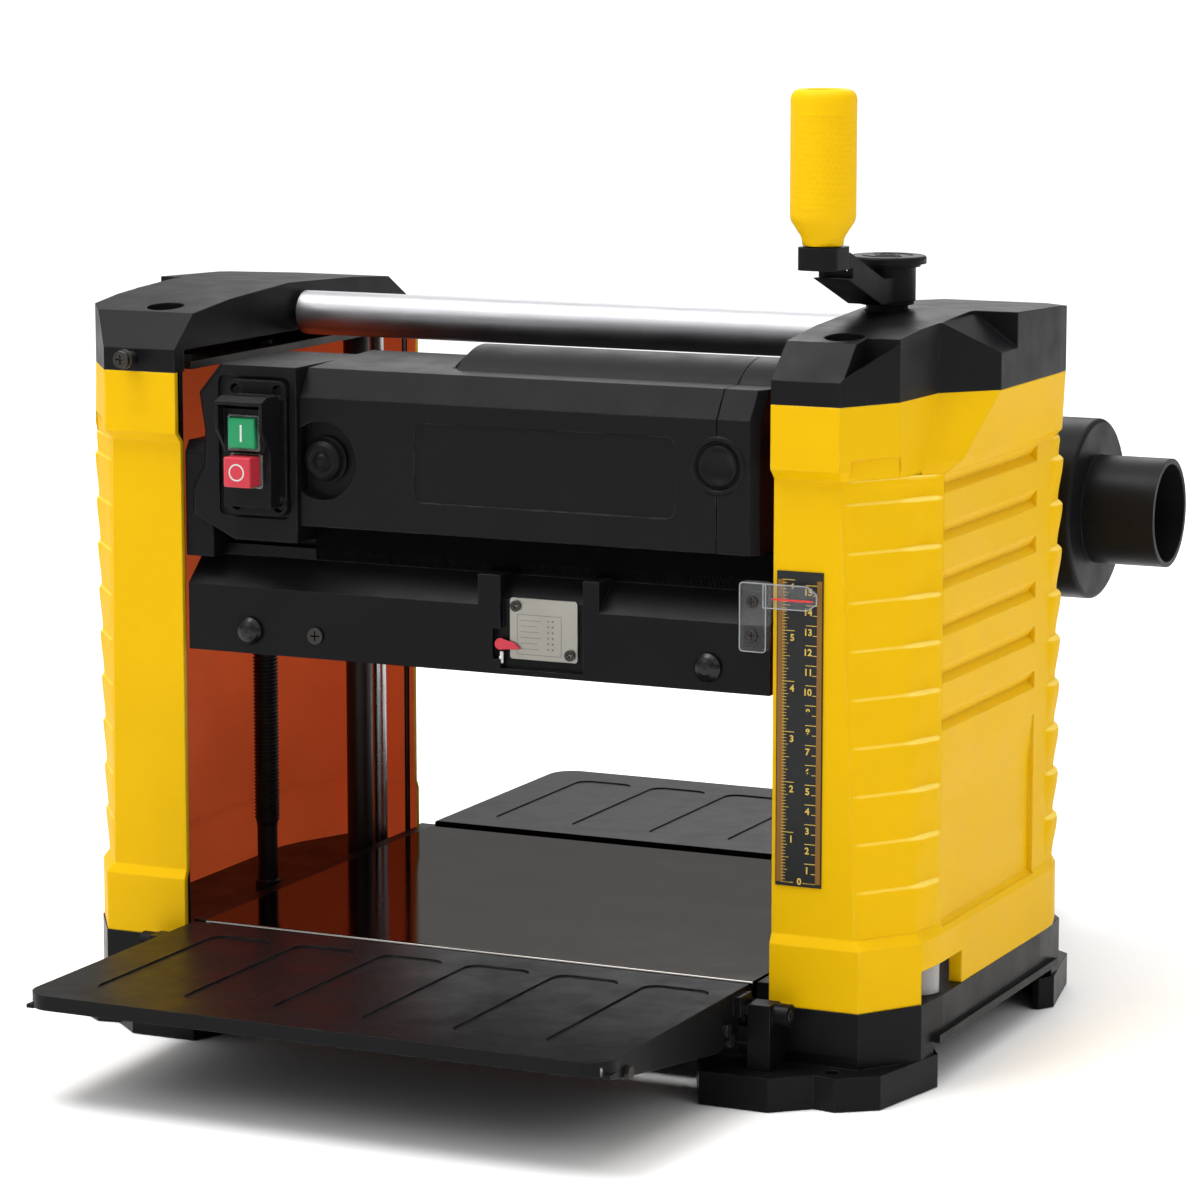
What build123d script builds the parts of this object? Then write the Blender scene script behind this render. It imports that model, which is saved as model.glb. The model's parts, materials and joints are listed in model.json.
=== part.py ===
"""Portable thickness planer: base, two column housings, a carriage with cutterhead and motor that
rises and falls on posts by a crank, and two folding tables.

Frame: millimetres, +Z up, origin on the floor midway between the columns and midway front to back.
The work goes in at -Y (infeed) and comes out at +Y (outfeed); the crank is on the +X column.
"""

from math import cos, hypot, pi, radians, sin, sqrt
import os

from build123d import *

os.makedirs("parts", exist_ok=True)

# ---------------------------------------------------------------- driving dimensions
# columns
column_gap = 337.0          # clear width between the two columns
column_front = 133.0        # half depth of the columns' middle band
band_lip = 5.0              # how far the top band stands proud
foot_lip = 2.5              # how far the bottom band stands proud
cover_bottom = 45.5
cover_top = 348.0
cover_wall = 3.0
ribbed_wall = 7.0           # thicker where grooves and louvers are moulded in
lower_band_top = 77.0
upper_band_bottom = 316.0
band_slope = 5.0
groove_pitch = 24.2
louver_count = 6
louver_pitch = 24.1
louver_top = 301.0
louver_depth = 3.6
louver_height = 9.0
groove_count = 10
groove_start = 83.5
groove_height = 20.0
corner_y = -104.0           # front corner where the chamfer ends
left_fuller = 14.0          # the left column stays wide up to its cap

# base
skirt_bottom = 23.0
foot_height = 17.0
deck = 7.0
bolt_spacing_x = 412.0
bolt_spacing_y = 288.0
bolt_hole_r = 4.0
turret_x = 226.0            # pin that carries the depth stop turret
turret_y = -78.0

# bed and folding tables
bed_top = 55.5
bed_half_width = 158.0
bed_half_depth = 132.0
bed_thickness = 3.0
table_top = 56.5
table_half_width = 160.0
table_outer = 311.0
table_inner = 141.0
table_rim = 7.5
table_skin = 3.0
hinge_y = 149.0
hinge_z = 44.5
hinge_pin_r = 3.0

# posts, screws and crank
screw_x = 183.0
screw_y = -20.0
screw_r = 7.0
post_x = 180.0
post_y = 84.0
post_r = 7.5
rod_x = 179.5
rod_y = 106.0
rod_r = 5.0
post_top = 352.0
crank_arm_length = 75.0
boss_top = 422.4            # top of the arm's boss, just under the grip
crank_turn = 4.0            # degrees that the arm stands off the -Y direction
grip_r = 16.7
grip_bottom = 423.0
grip_top = 500.0

# carriage
beam_half = 166.0
beam_front = -131.0
beam_bottom = 201.5
beam_face_top = 236.6
beam_top = 251.0
cutter_y = 30.0
cutter_z = 223.5
cutter_r = 22.5
knife_r = 24.0
roller_gap = 66.0           # cutterhead axis to each feed roller axis
roller_r = 13.0
roller_z = 212.0
motor_y = -75.0
motor_z = 319.0
cover_r = 45.0              # barrel over the motor
cover_front = -131.0
cover_low = 271.0
cover_face_top = 338.0
cover_edge = 352.5
cover_left = -98.5
cover_right = 136.5
end_cap_right = 158.5
housing_left = -163.0

# dust port
port_y = 187.0
port_z = 259.0
drum_r = 50.0
tube_r = 30.0
port_wall = 3.0
drum_end = 229.0
tube_end = 270.0

half_gap = column_gap / 2
gap = 0.3                   # clearance between separate bodies
run = 0.05                  # radial clearance of a shaft in its bearing


def save(builder, name):
    """Label a finished piece and write it."""
    builder.part.label = name
    export_step(builder.part, "parts/" + name + ".step")


def mirrored(points):
    """The same outline points reflected front to back, in reverse order."""
    return [(x, -y) for x, y in reversed(points)]


# ---------------------------------------------------------------- column housings
def column_outline(front, edge, corner, strip, side, tail, rear_corner, inset=0.0):
    """Plan outline of the right-hand column, from inner front round the outside to inner rear."""
    inner = half_gap if not inset else half_gap - 8
    deep = inset * ribbed_wall / cover_wall
    outline = [(inner, -front + inset), (edge - inset / 2, -front + inset)]
    outline += [(corner - deep, corner_y + deep / 2), (strip[0] - deep, strip[1])]
    outline += [(side[0] - deep, side[1] + deep / 2), (tail[0] - deep, tail[1] - deep / 2)]
    outline += [(tail[0] - 0.5 - deep, tail[1] + 11 - deep / 2), (rear_corner - deep, -corner_y - deep / 2)]
    outline += [(edge - inset / 2, front - inset), (inner, front - inset)]
    return outline


def column_sections(inset=0.0, fuller=0.0):
    """Heights and outlines of the column: foot band, middle, top band. Fuller widens it above the foot."""
    edge, corner, strip = fuller * 0.45, fuller, fuller * 0.75
    foot = column_outline(column_front + foot_lip, 216.5, 238.0, (239.5, -90), (240.0, -80), (240.5, 78), 236,
                          inset)
    low = column_outline(column_front, 213.0, 234.0, (236.0, -90), (238.0, -80), (238.5, 80), 233, inset)
    mid = column_outline(column_front, 203.5 + edge, 223.0 + corner, (230.0 + strip, -90), (238 + strip / 2, -80),
                         (238 + strip / 2, 82), 232, inset)
    shoulder = column_outline(column_front + band_lip, 205 + edge, 224.0 + corner, (229.0 + corner, -84),
                              (241 + strip / 2, -62), (244 + strip / 2, 70), 231, inset)
    top = column_outline(column_front + band_lip, 205 + edge, 223.0 + corner, (225.5 + corner, -57),
                         (249 + strip / 2, -30), (249 + strip / 2, 60), 225, inset)
    heights = [cover_bottom, lower_band_top, lower_band_top + band_slope]
    heights += [upper_band_bottom - band_slope, upper_band_bottom, cover_top]
    return list(zip(heights, [foot, foot, low, mid, shoulder, top]))


def wedge_grooves(strip_low, strip_high, depth, reach, fade):
    """Clapboard grooves up a leaning strip: a narrow ledge below each, a long slope running out above.

    Each strip end is a front and a rear point in plan. The grooves start at the rear one and thin forward."""
    low_z = lower_band_top + band_slope
    high_z = upper_band_bottom - band_slope
    with BuildPart(mode=Mode.PRIVATE) as comb:
        for k in range(groove_count):
            ledge = groove_start + k * groove_pitch
            share = (ledge - low_z) / (high_z - low_z)
            front, rear = (Vector(*a) * (1 - share) + Vector(*b) * share for a, b in zip(strip_low, strip_high))
            outward = (rear - front).normalized().rotate(Axis.Z, fade - 90)
            with BuildSketch(Plane(origin=rear, x_dir=outward, z_dir=outward.cross(Vector(0, 0, 1)))):
                Polygon((6, ledge), (0, ledge), (-depth, ledge + depth), (0, ledge + groove_height),
                        (6, ledge + groove_height), align=None)
            extrude(amount=reach)
    return comb.part


def column_cover(builder_solid, builder_core, fuller):
    """One ribbed shell, built as the right-hand one."""
    corner, strip = fuller, fuller * 0.75
    grooves = [
        wedge_grooves([(234, -104), (236, -90)], [(223 + corner, -104), (230 + strip, -90)], 2.8, 17, 8),
        wedge_grooves([(213, -133), (234, -104)], [(203.5 + fuller * 0.45, -133), (223 + corner, -104)], 0.7, 31,
                      1.2),
        wedge_grooves([(238.5, 80), (238, 91)], [(238 + strip / 2, 82), (237.5 + strip / 2, 93)], 1.6, 10, 0),
    ]
    with BuildPart(mode=Mode.PRIVATE) as louvers:
        for k in range(louver_count):
            lip = louver_top - k * louver_pitch
            wall = 238 + strip / 2 * (lip - lower_band_top) / (upper_band_bottom - lower_band_top)
            with BuildSketch(Plane.XZ.offset(80)):
                Polygon((wall + 10, lip), (wall, lip), (wall - louver_depth, lip + louver_depth),
                        (wall, lip + louver_height), (wall + 10, lip + louver_height), align=None)
            extrude(amount=-138)
    with BuildPart(mode=Mode.PRIVATE) as cover:
        add(builder_solid.part)
        for comb in grooves:
            add(comb, mode=Mode.SUBTRACT)
        add(louvers.part, mode=Mode.SUBTRACT)
        # sloping facet that leads into the flat recessed panel under the louvers
        with BuildSketch(Plane.XZ.offset(78)):
            Polygon((250, 166), (237.9, 166), (235.8, 142), (235.8, 82), (237.9, 80), (250, 80), align=None)
        extrude(amount=-136, mode=Mode.SUBTRACT)
        add(builder_core.part, mode=Mode.SUBTRACT)
    return cover.part


def column_loft(inset, fuller):
    """Solid of one column between its sections, run past both ends when it is the inner core."""
    with BuildPart(mode=Mode.PRIVATE) as solid:
        for height, outline in column_sections(inset, fuller):
            reach = {cover_bottom: -1, cover_top: 1}.get(height, 0) if inset else 0
            with BuildSketch(Plane.XY.offset(height + reach)):
                Polygon(*outline, align=None)
        loft(ruled=True)
    return solid


right_shell = column_cover(column_loft(0.0, 0.0), column_loft(cover_wall, 0.0), 0.0)
left_shell = column_cover(column_loft(0.0, left_fuller), column_loft(cover_wall, left_fuller), left_fuller)

with BuildPart() as column_cover_right:
    add(right_shell)
    # notch that shows the stop turret
    with BuildSketch(Plane.YZ.offset(213)):
        with Locations((turret_y, cover_bottom + 8)):
            Rectangle(52, 18)
    extrude(amount=42, mode=Mode.SUBTRACT)

with BuildPart() as column_cover_left:
    mirror(left_shell, about=Plane.YZ)

save(column_cover_right, "column_cover_right")
save(column_cover_left, "column_cover_left")

# ---------------------------------------------------------------- caps over the columns
cap_profile = [(-138, cover_top), (-138, 360), (-118, 377.5), (-78, 382), (-15, 385.5)]
cap_profile += [(58, 383), (102, 380), (122, 369), (138, 360), (138, cover_top)]


def cap_shell(fuller):
    """One cap as the right-hand one: faceted block, hollow underneath, with its lifting hole."""
    outline = column_sections(0.0, fuller)[-1][1]
    with BuildPart(mode=Mode.PRIVATE) as shell:
        with BuildSketch(Plane.XY.offset(cover_top)):
            Polygon(*outline, align=None)
        extrude(amount=40)
        with BuildSketch(Plane.YZ.offset(half_gap - 2)):
            Polygon(*cap_profile, align=None)
        extrude(amount=95, mode=Mode.INTERSECT)
        # outer shoulder falls away towards the side bulge
        with BuildSketch(Plane.XZ.offset(58)):
            Polygon((226 + fuller, 392), (226 + fuller, 383.5), (249.5 + fuller, 366.5), (256 + fuller, 392),
                    align=None)
        extrude(amount=-52, mode=Mode.SUBTRACT)
        if not fuller:
            with BuildSketch(Plane.XZ.offset(140)):
                Polygon((205, 392), (206, 362), (226, 380), (226, 392), align=None)
            extrude(amount=-36, mode=Mode.SUBTRACT)
        with BuildSketch(Plane.XY.offset(cover_top - 1)):
            Polygon((165, -128), (200, -128), (218, -100), (221, -52), (242, -26), (242, 60),
                    (221, 90), (218, 100), (200, 128), (165, 128), align=None)
        extrude(amount=12, mode=Mode.SUBTRACT)
        with BuildSketch(Plane.XY.offset(cover_top + 8)):
            Polygon((172, -108), (200, -108), (214, -90), (214, 88), (200, 102), (172, 102), align=None)
        extrude(amount=16, taper=12, mode=Mode.SUBTRACT)
        # lifting hole in the front slope
        with BuildSketch(Plane.XY.offset(360)):
            with Locations((193.5, -104)):
                Circle(10.0)
        extrude(amount=30, mode=Mode.SUBTRACT)
        # socket for the return roller's axle
        with BuildSketch(Plane.YZ.offset(half_gap - 2)):
            with Locations((0, 368.3)):
                Circle(5.0)
        extrude(amount=9, mode=Mode.SUBTRACT)
    return shell.part


with BuildPart() as column_cap_right:
    add(cap_shell(0.0))
    # bore for the crank hub
    with BuildSketch(Plane.XY.offset(350)):
        with Locations((screw_x, screw_y)):
            Circle(11.5)
    extrude(amount=40, mode=Mode.SUBTRACT)

with BuildPart() as column_cap_left:
    mirror(cap_shell(left_fuller), about=Plane.YZ)

save(column_cap_right, "column_cap_right")
save(column_cap_left, "column_cap_left")

# ---------------------------------------------------------------- base
foot_outline = [(145, -169), (182, -169), (200, -153), (212, -155), (231, -141), (241.5, -89)]
foot_outline += [(236, -80), (200, -80), (128, -133)]
base_wall = [(0, -130), (half_gap - 4, -130), (half_gap - 4, -136), (216.8, -136), (238.4, -104.8)]
base_wall += [(240.4, -80), (240.4, 68), (238.4, 104.8), (216.8, 136), (half_gap - 4, 136)]
base_wall += [(half_gap - 4, 130), (0, 130)]

with BuildPart() as base_half:
    # walls under the column and the bed
    with BuildSketch(Plane.XY.offset(skirt_bottom)):
        Polygon(*base_wall, align=None)
    extrude(amount=cover_bottom - skirt_bottom)
    # raised bed support between the columns
    with BuildSketch(Plane.XY.offset(cover_bottom)):
        with Locations((bed_half_width / 2 - 1, 0)):
            Rectangle(bed_half_width - 2, 256)
    extrude(amount=bed_top - bed_thickness - cover_bottom)
    # low wall beside the bed
    with BuildSketch(Plane.XY.offset(cover_bottom)):
        with Locations((163.3, 0)):
            Rectangle(8.6, 256)
    extrude(amount=9)
    # feet at the corners, with their stepped outline
    for flip in (False, True):
        outline = mirrored(foot_outline) if flip else foot_outline
        with BuildSketch() as foot:
            Polygon(*outline, align=None)
        extrude(amount=foot_height)
        with BuildSketch(Plane.XY.offset(foot_height)):
            sign = 1 if flip else -1
            Polygon((150, 132 * sign), (216.8, 136 * sign), (238.4, 104.8 * sign),
                    (239.4, 90 * sign), (150, 90 * sign), align=None)
        extrude(amount=skirt_bottom - foot_height)
    # bead along the skirt between the feet
    with BuildSketch(Plane.XY.offset(skirt_bottom)):
        with Locations((241.3, 0)):
            Rectangle(3.4, 180)
    extrude(amount=4)
    # hollow underside
    with BuildSketch(Plane.XY.offset(-1)):
        Polygon((0, -124), (120, -124), (150, -126), (204, -126), (230, -96), (233, -76), (233, 76),
                (230, 96), (204, 126), (150, 126), (120, 124), (0, 124), align=None)
    extrude(amount=cover_bottom - deck + 1, mode=Mode.SUBTRACT)
    # bolt holes through the feet
    with BuildSketch(Plane.XY.offset(-1)):
        with Locations(*[(bolt_spacing_x / 2, bolt_spacing_y / 2 * s) for s in (-1, 1)]):
            Circle(bolt_hole_r)
    extrude(amount=foot_height + 6, mode=Mode.SUBTRACT)
    # seats for the posts, screw and rod, and the pin that the stop turret turns on
    with BuildSketch(Plane.XY.offset(30)):
        with Locations((screw_x, screw_y)):
            Circle(screw_r - 2 + run)
        with Locations((post_x, post_y)):
            Circle(post_r - 2)
        with Locations((rod_x, rod_y)):
            Circle(rod_r - 2)
    extrude(amount=20, mode=Mode.SUBTRACT)

with BuildPart() as base_casting:
    add(base_half.part)
    mirror(base_half.part, about=Plane.YZ)
    with BuildSketch(Plane.XY.offset(cover_bottom)):
        with Locations((turret_x, turret_y)):
            Circle(2.5)
    extrude(amount=17)

save(base_casting, "base_casting")

with BuildPart() as bed_plate:
    with BuildSketch(Plane.XY.offset(bed_top - bed_thickness)):
        Rectangle(2 * bed_half_width, 2 * bed_half_depth)
    extrude(amount=bed_thickness)
    fillet(bed_plate.edges().filter_by(Axis.X).group_by(Axis.Z)[-1], 1.5)

save(bed_plate, "bed_plate")

# ---------------------------------------------------------------- posts and frame in the columns
with BuildPart() as guide_posts:
    for side in (-1, 1):
        with BuildSketch(Plane.XY.offset(cover_bottom)):
            with Locations((side * post_x, post_y)):
                Circle(post_r)
        extrude(amount=post_top - 4 - cover_bottom)
        with BuildSketch(Plane.XY.offset(cover_bottom - deck)):
            with Locations((side * post_x, post_y)):
                Circle(post_r - 2)
        extrude(amount=post_top - cover_bottom + deck)

save(guide_posts, "guide_posts")

with BuildPart() as steady_rods:
    for side in (-1, 1):
        with BuildSketch(Plane.XY.offset(cover_bottom)):
            with Locations((side * rod_x, rod_y)):
                Circle(rod_r)
        extrude(amount=post_top - 4 - cover_bottom)
        with BuildSketch(Plane.XY.offset(cover_bottom - deck)):
            with Locations((side * rod_x, rod_y)):
                Circle(rod_r - 2)
        extrude(amount=post_top - cover_bottom + deck)

save(steady_rods, "steady_rods")

with BuildPart() as top_plates:
    for side in (-1, 1):
        with BuildSketch(Plane.XY.offset(post_top - 4)):
            with Locations((side * 188, 0)):
                Rectangle(36, 236)
            with Locations((side * screw_x, screw_y)):
                Circle(screw_r - 1 + run, mode=Mode.SUBTRACT)
            with Locations((side * post_x, post_y)):
                Circle(post_r - 2, mode=Mode.SUBTRACT)
            with Locations((side * rod_x, rod_y)):
                Circle(rod_r - 2, mode=Mode.SUBTRACT)
        extrude(amount=4)

save(top_plates, "top_plates")

with BuildPart() as frame_uprights:
    for side in (-1, 1):
        for end in (-1, 1):
            with BuildSketch(Plane.XY.offset(59.5)):
                with Locations((side * (half_gap + 5), end * 128)):
                    Rectangle(6, 3)
            extrude(amount=post_top - 4 - 59.5)

save(frame_uprights, "frame_uprights")


def lead_screw(side, name, top):
    """Threaded rod with turned ends; the right one runs on up into the crank."""
    with BuildPart() as screw:
        with BuildSketch(Plane.XY.offset(cover_bottom + 0.5)):
            with Locations((side * screw_x, screw_y)):
                Circle(screw_r)
        extrude(amount=post_top - 4.5 - cover_bottom - 0.5)
        with BuildSketch(Plane.XY.offset(27)):
            with Locations((side * screw_x, screw_y)):
                Circle(screw_r - 2)
        extrude(amount=30)
        with BuildSketch(Plane.XY.offset(340)):
            with Locations((side * screw_x, screw_y)):
                Circle(screw_r - 1)
        extrude(amount=top - 340)
    save(screw, name)


lead_screw(1, "lead_screw_right", 388.0)
lead_screw(-1, "lead_screw_left", post_top + 3)

sprocket_teeth = 16
sprocket_pitch_r = 20.0
sprocket_z = 27.5


def sprocket(origin, name, pitch_r, teeth, thick, bore):
    """Flat chain sprocket with a bore, on an upright axle."""
    with BuildPart() as wheel:
        with BuildSketch(Plane(origin=origin)):
            Circle(pitch_r + 1.2)
            with PolarLocations(pitch_r + 1.6, teeth):
                Circle(pi * pitch_r / teeth * 0.62, mode=Mode.SUBTRACT)
            Circle(bore, mode=Mode.SUBTRACT)
        extrude(amount=thick)
    save(wheel, name)


for side, name in ((1, "screw_sprocket_right"), (-1, "screw_sprocket_left")):
    sprocket((side * screw_x, screw_y, sprocket_z), name, sprocket_pitch_r, sprocket_teeth, 4.0, screw_r - 2)

with BuildPart() as sync_chain:
    with BuildSketch(Plane.XY.offset(sprocket_z + 0.2)):
        with Locations((0, screw_y)):
            SlotCenterToCenter(2 * screw_x, 2 * (sprocket_pitch_r + 5.5))
            SlotCenterToCenter(2 * screw_x, 2 * (sprocket_pitch_r + 1.6), mode=Mode.SUBTRACT)
    extrude(amount=3.6)

save(sync_chain, "sync_chain")

# ---------------------------------------------------------------- crank
crank_direction = Plane(
    origin=(screw_x, screw_y, 0),
    x_dir=(cos(radians(-90 - crank_turn)), sin(radians(-90 - crank_turn)), 0),
    z_dir=(0, 0, 1),
)
grip_x = screw_x + crank_arm_length * cos(radians(-90 - crank_turn))
grip_y = screw_y + crank_arm_length * sin(radians(-90 - crank_turn))

with BuildPart() as crank_arm:
    # collar and hub over the screw
    with BuildSketch(crank_direction.offset(388.2)):
        Circle(13.8)
    extrude(amount=4.0)
    with BuildSketch(crank_direction.offset(post_top + 0.8)):
        Circle(10.8)
    extrude(amount=392 - post_top)
    with BuildSketch(crank_direction.offset(390.0)):
        Circle(14.6)
    extrude(amount=17.5)
    # two cheeks of the arm rise from the hub to the grip's boss
    arm_side = Plane(origin=crank_direction.origin, x_dir=crank_direction.x_dir,
                     z_dir=-crank_direction.y_dir)
    with BuildSketch(arm_side):
        Polygon((0, 390), (26, 390), (crank_arm_length - 6, 407), (crank_arm_length + 8, 407),
                (crank_arm_length + 8, 419), (crank_arm_length - 12, 419), (24, 403), (0, 403), align=None)
    extrude(amount=9.5, both=True)
    # channel between the cheeks
    with BuildSketch(arm_side):
        Polygon((16, 395.5), (26, 394), (crank_arm_length - 14, 409), (crank_arm_length - 13, 424),
                (20, 416), (16, 416), align=None)
    extrude(amount=6.3, both=True, mode=Mode.SUBTRACT)
    with BuildSketch(crank_direction.offset(411)):
        with Locations((crank_arm_length - 1, 0)):
            RectangleRounded(23, 21.5, 6)
    extrude(amount=boss_top - 411)
    # pocket under the boss
    with BuildSketch(crank_direction.offset(406)):
        with Locations((crank_arm_length, 0)):
            Rectangle(30, 30)
    extrude(amount=5.0, mode=Mode.SUBTRACT)
    # blind bore that takes the screw's end
    with BuildSketch(crank_direction.offset(350)):
        Circle(screw_r - 1)
    extrude(amount=38, mode=Mode.SUBTRACT)

save(crank_arm, "crank_arm")

with BuildPart() as crank_cap:
    with BuildSketch(crank_direction.offset(407.5)):
        Circle(17.0)
    extrude(amount=1.5)
    with BuildSketch(crank_direction.offset(409.0)):
        Circle(20.0)
    extrude(amount=4.0)
    fillet(crank_cap.edges().group_by(Axis.Z)[-1], 1.5)

save(crank_cap, "crank_cap")

with BuildPart() as grip_axle:
    with BuildSketch(crank_direction.offset(boss_top)):
        with Locations((crank_arm_length, 0)):
            Circle(4.0)
    extrude(amount=492 - boss_top)
    with BuildSketch(crank_direction.offset(492)):
        with Locations((crank_arm_length, 0)):
            Circle(6.0)
    extrude(amount=3)

save(grip_axle, "grip_axle")

grip_plane = Plane(origin=(grip_x, grip_y, 0), x_dir=(1, 0, 0), z_dir=(0, -1, 0))

with BuildPart() as crank_grip:
    with BuildSketch(grip_plane):
        Polygon((0, grip_bottom), (10, grip_bottom), (11, 427), (grip_r, 437), (grip_r, grip_top),
                (0, grip_top), align=None)
    revolve(axis=Axis((grip_x, grip_y, 0), (0, 0, 1)))
    fillet(crank_grip.edges().group_by(Axis.Z)[-1], 5.0)
    # bore for the axle and a pocket for its head
    with BuildSketch(Plane(origin=(grip_x, grip_y, 420))):
        Circle(4.0 + run)
    extrude(amount=73, mode=Mode.SUBTRACT)
    with BuildSketch(Plane(origin=(grip_x, grip_y, 491.5))):
        Circle(6.5)
    extrude(amount=4, mode=Mode.SUBTRACT)

save(crank_grip, "crank_grip")

# ---------------------------------------------------------------- folding tables and their hinges
ear_in = 153.0
ear_out = 164.0
bracket_in = 166.0
bracket_out = 178.0
recess_count = 6
recess_pitch = 49.6
recess_shift = 8.0

with BuildPart() as infeed_table:
    with BuildSketch(Plane.XY.offset(table_top - table_rim)) as plate:
        with Locations((0, -(table_outer + table_inner) / 2)):
            Rectangle(2 * table_half_width, table_outer - table_inner)
        fillet(plate.vertices().group_by(Axis.Y)[0], 15)
    extrude(amount=table_rim)
    # hollow underside leaves a skin and a rim
    with BuildSketch(Plane.XY.offset(table_top - table_rim)):
        with Locations((0, -(table_outer + table_inner) / 2)):
            Rectangle(2 * table_half_width - 8, table_outer - table_inner - 8)
    extrude(amount=table_rim - table_skin, mode=Mode.SUBTRACT)
    # long shallow recesses in the top
    with BuildSketch(Plane.XY.offset(table_top)) as recesses:
        with Locations((recess_shift, -224)):
            with GridLocations(recess_pitch, 0, recess_count, 1):
                RectangleRounded(recess_pitch - 13.6, 124, 8)
    extrude(amount=-0.8, mode=Mode.SUBTRACT)
    # side flanges that deepen towards the hinge, with an ear round the pin
    for side in (-1, 1):
        with BuildSketch(Plane.YZ.offset(side * (table_half_width - 2))):
            Polygon((-306, 50), (-306, 48), (-285, 44.5), (-180, 30), (-hinge_y - 6, 32), (-hinge_y - 6, 50),
                    align=None)
        extrude(amount=2, both=True)
        with BuildSketch(Plane.YZ.offset(side * (ear_in + ear_out) / 2)):
            with Locations((-hinge_y, hinge_z)):
                Circle(7.5)
            with Locations((-hinge_y - 5, (hinge_z + table_top) / 2 - 1)):
                Rectangle(14, table_top - hinge_z - 2)
            with Locations((-hinge_y, hinge_z)):
                Circle(hinge_pin_r + run, mode=Mode.SUBTRACT)
        extrude(amount=(ear_out - ear_in) / 2, both=True)
    # cross ribs under the skin
    for rib_y in (-190, -250):
        with BuildSketch(Plane.XY.offset(table_top - table_skin)):
            with Locations((0, rib_y)):
                Rectangle(2 * table_half_width - 8, 3)
        extrude(amount=-10)
    # clear way for the pins
    for side in (-1, 1):
        with BuildSketch(Plane.YZ.offset(side * (ear_in + ear_out) / 2)):
            with Locations((-hinge_y, hinge_z)):
                Circle(hinge_pin_r + run)
        extrude(amount=16, both=True, mode=Mode.SUBTRACT)

with BuildPart() as outfeed_table:
    mirror(infeed_table.part, about=Plane.XZ)

save(infeed_table, "infeed_table")
save(outfeed_table, "outfeed_table")

for end, name in ((-1, "infeed_stop_bolts"), (1, "outfeed_stop_bolts")):
    with BuildPart() as stop_bolts:
        for side in (-1, 1):
            for along, up in ((288, 47.5), (172, 40), (168, 34)):
                with BuildSketch(Plane.YZ.offset(side * table_half_width)):
                    with Locations((end * along, up)):
                        RegularPolygon(3.4, 6)
                extrude(amount=side * 2.6)
    save(stop_bolts, name)

with BuildPart() as hinge_brackets:
    for side in (-1, 1):
        for end in (-1, 1):
            with BuildSketch(Plane.YZ.offset(side * (bracket_in + bracket_out) / 2)):
                Polygon((end * 136, foot_height), (end * 157, foot_height), (end * 157, 50.5),
                        (end * 145, 50.5), (end * 136, 45), align=None)
            extrude(amount=(bracket_out - bracket_in) / 2, both=True)
            with BuildSketch(Plane.YZ.offset(side * bracket_out)):
                with Locations((end * hinge_y, hinge_z)):
                    Circle(6)
            extrude(amount=side * 8)
            with BuildSketch(Plane.YZ.offset(side * (bracket_in - 1))):
                with Locations((end * hinge_y, hinge_z)):
                    Circle(hinge_pin_r)
            extrude(amount=side * 30, mode=Mode.SUBTRACT)

save(hinge_brackets, "hinge_brackets")

with BuildPart() as hinge_pins:
    for side in (-1, 1):
        for end in (-1, 1):
            with BuildSketch(Plane.YZ.offset(side * (ear_in - 1))):
                with Locations((end * hinge_y, hinge_z)):
                    Circle(hinge_pin_r)
            extrude(amount=side * (bracket_out + 8 - ear_in + 1))

save(hinge_pins, "hinge_pins")

# ---------------------------------------------------------------- scale and stop turret
scale_z = (107.0, 265.5)
with BuildPart() as scale_plate:
    with BuildSketch(Plane.XZ.offset(column_front)):
        with Locations((183, sum(scale_z) / 2)):
            Rectangle(24.5, scale_z[1] - scale_z[0])
    extrude(amount=0.8)

save(scale_plate, "scale_plate")

with BuildPart() as depth_stop_turret:
    with BuildSketch(Plane.XY.offset(cover_bottom + 0.4)):
        with Locations((turret_x, turret_y)):
            Circle(11.0)
    extrude(amount=15.5)
    # stepped ledges that meet the carriage's stop at set depths
    for step in range(4):
        with BuildSketch(Plane.XY.offset(cover_bottom + 4 + 3 * step)):
            with Locations(Location((turret_x, turret_y, 0), (0, 0, 90 * step))):
                with Locations((7.5, 0)):
                    Rectangle(5.2, 5.0)
        extrude(amount=20, mode=Mode.SUBTRACT)
    with BuildSketch(Plane.XY.offset(cover_bottom)):
        with Locations((turret_x, turret_y)):
            Circle(2.5 + run)
    extrude(amount=30, mode=Mode.SUBTRACT)

save(depth_stop_turret, "depth_stop_turret")

# ---------------------------------------------------------------- return roller
roller_bar_z = 368.3
roller_bar_r = 12.0
with BuildPart() as roller_axle:
    with BuildSketch(Plane.YZ):
        with Locations((0, roller_bar_z)):
            Circle(5.0)
    extrude(amount=half_gap + 6, both=True)

save(roller_axle, "roller_axle")

with BuildPart() as return_roller:
    with BuildSketch(Plane.YZ):
        with Locations((0, roller_bar_z)):
            Circle(roller_bar_r)
            Circle(5.0 + run, mode=Mode.SUBTRACT)
    extrude(amount=half_gap - 2.6, both=True)

save(return_roller, "return_roller")

# screws and a spacer on the front of the caps
with BuildPart() as cap_screws:
    # head, washer and spacer of the screw that pins the left cap
    for start, length, r in ((138.0, 8.0, 3.6), (146.0, 1.2, 5.2), (147.2, 3.0, 4.4)):
        with BuildSketch(Plane.XZ.offset(start)):
            with Locations((-194.0, 355.0)):
                Circle(r)
        extrude(amount=length)
    with BuildSketch(Plane.XZ.offset(148.8)):
        with Locations((-194.0, 355.0)):
            Rectangle(5.4, 1.2)
            Rectangle(1.2, 5.4)
    extrude(amount=2, mode=Mode.SUBTRACT)
    # screws that hold the top plates down
    for side in (-1, 1):
        for end in (-1, 1):
            with BuildSketch(Plane.XY.offset(post_top)):
                with Locations((side * (half_gap + 10), end * 112)):
                    RegularPolygon(5.0, 6)
            extrude(amount=3.2)

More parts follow.
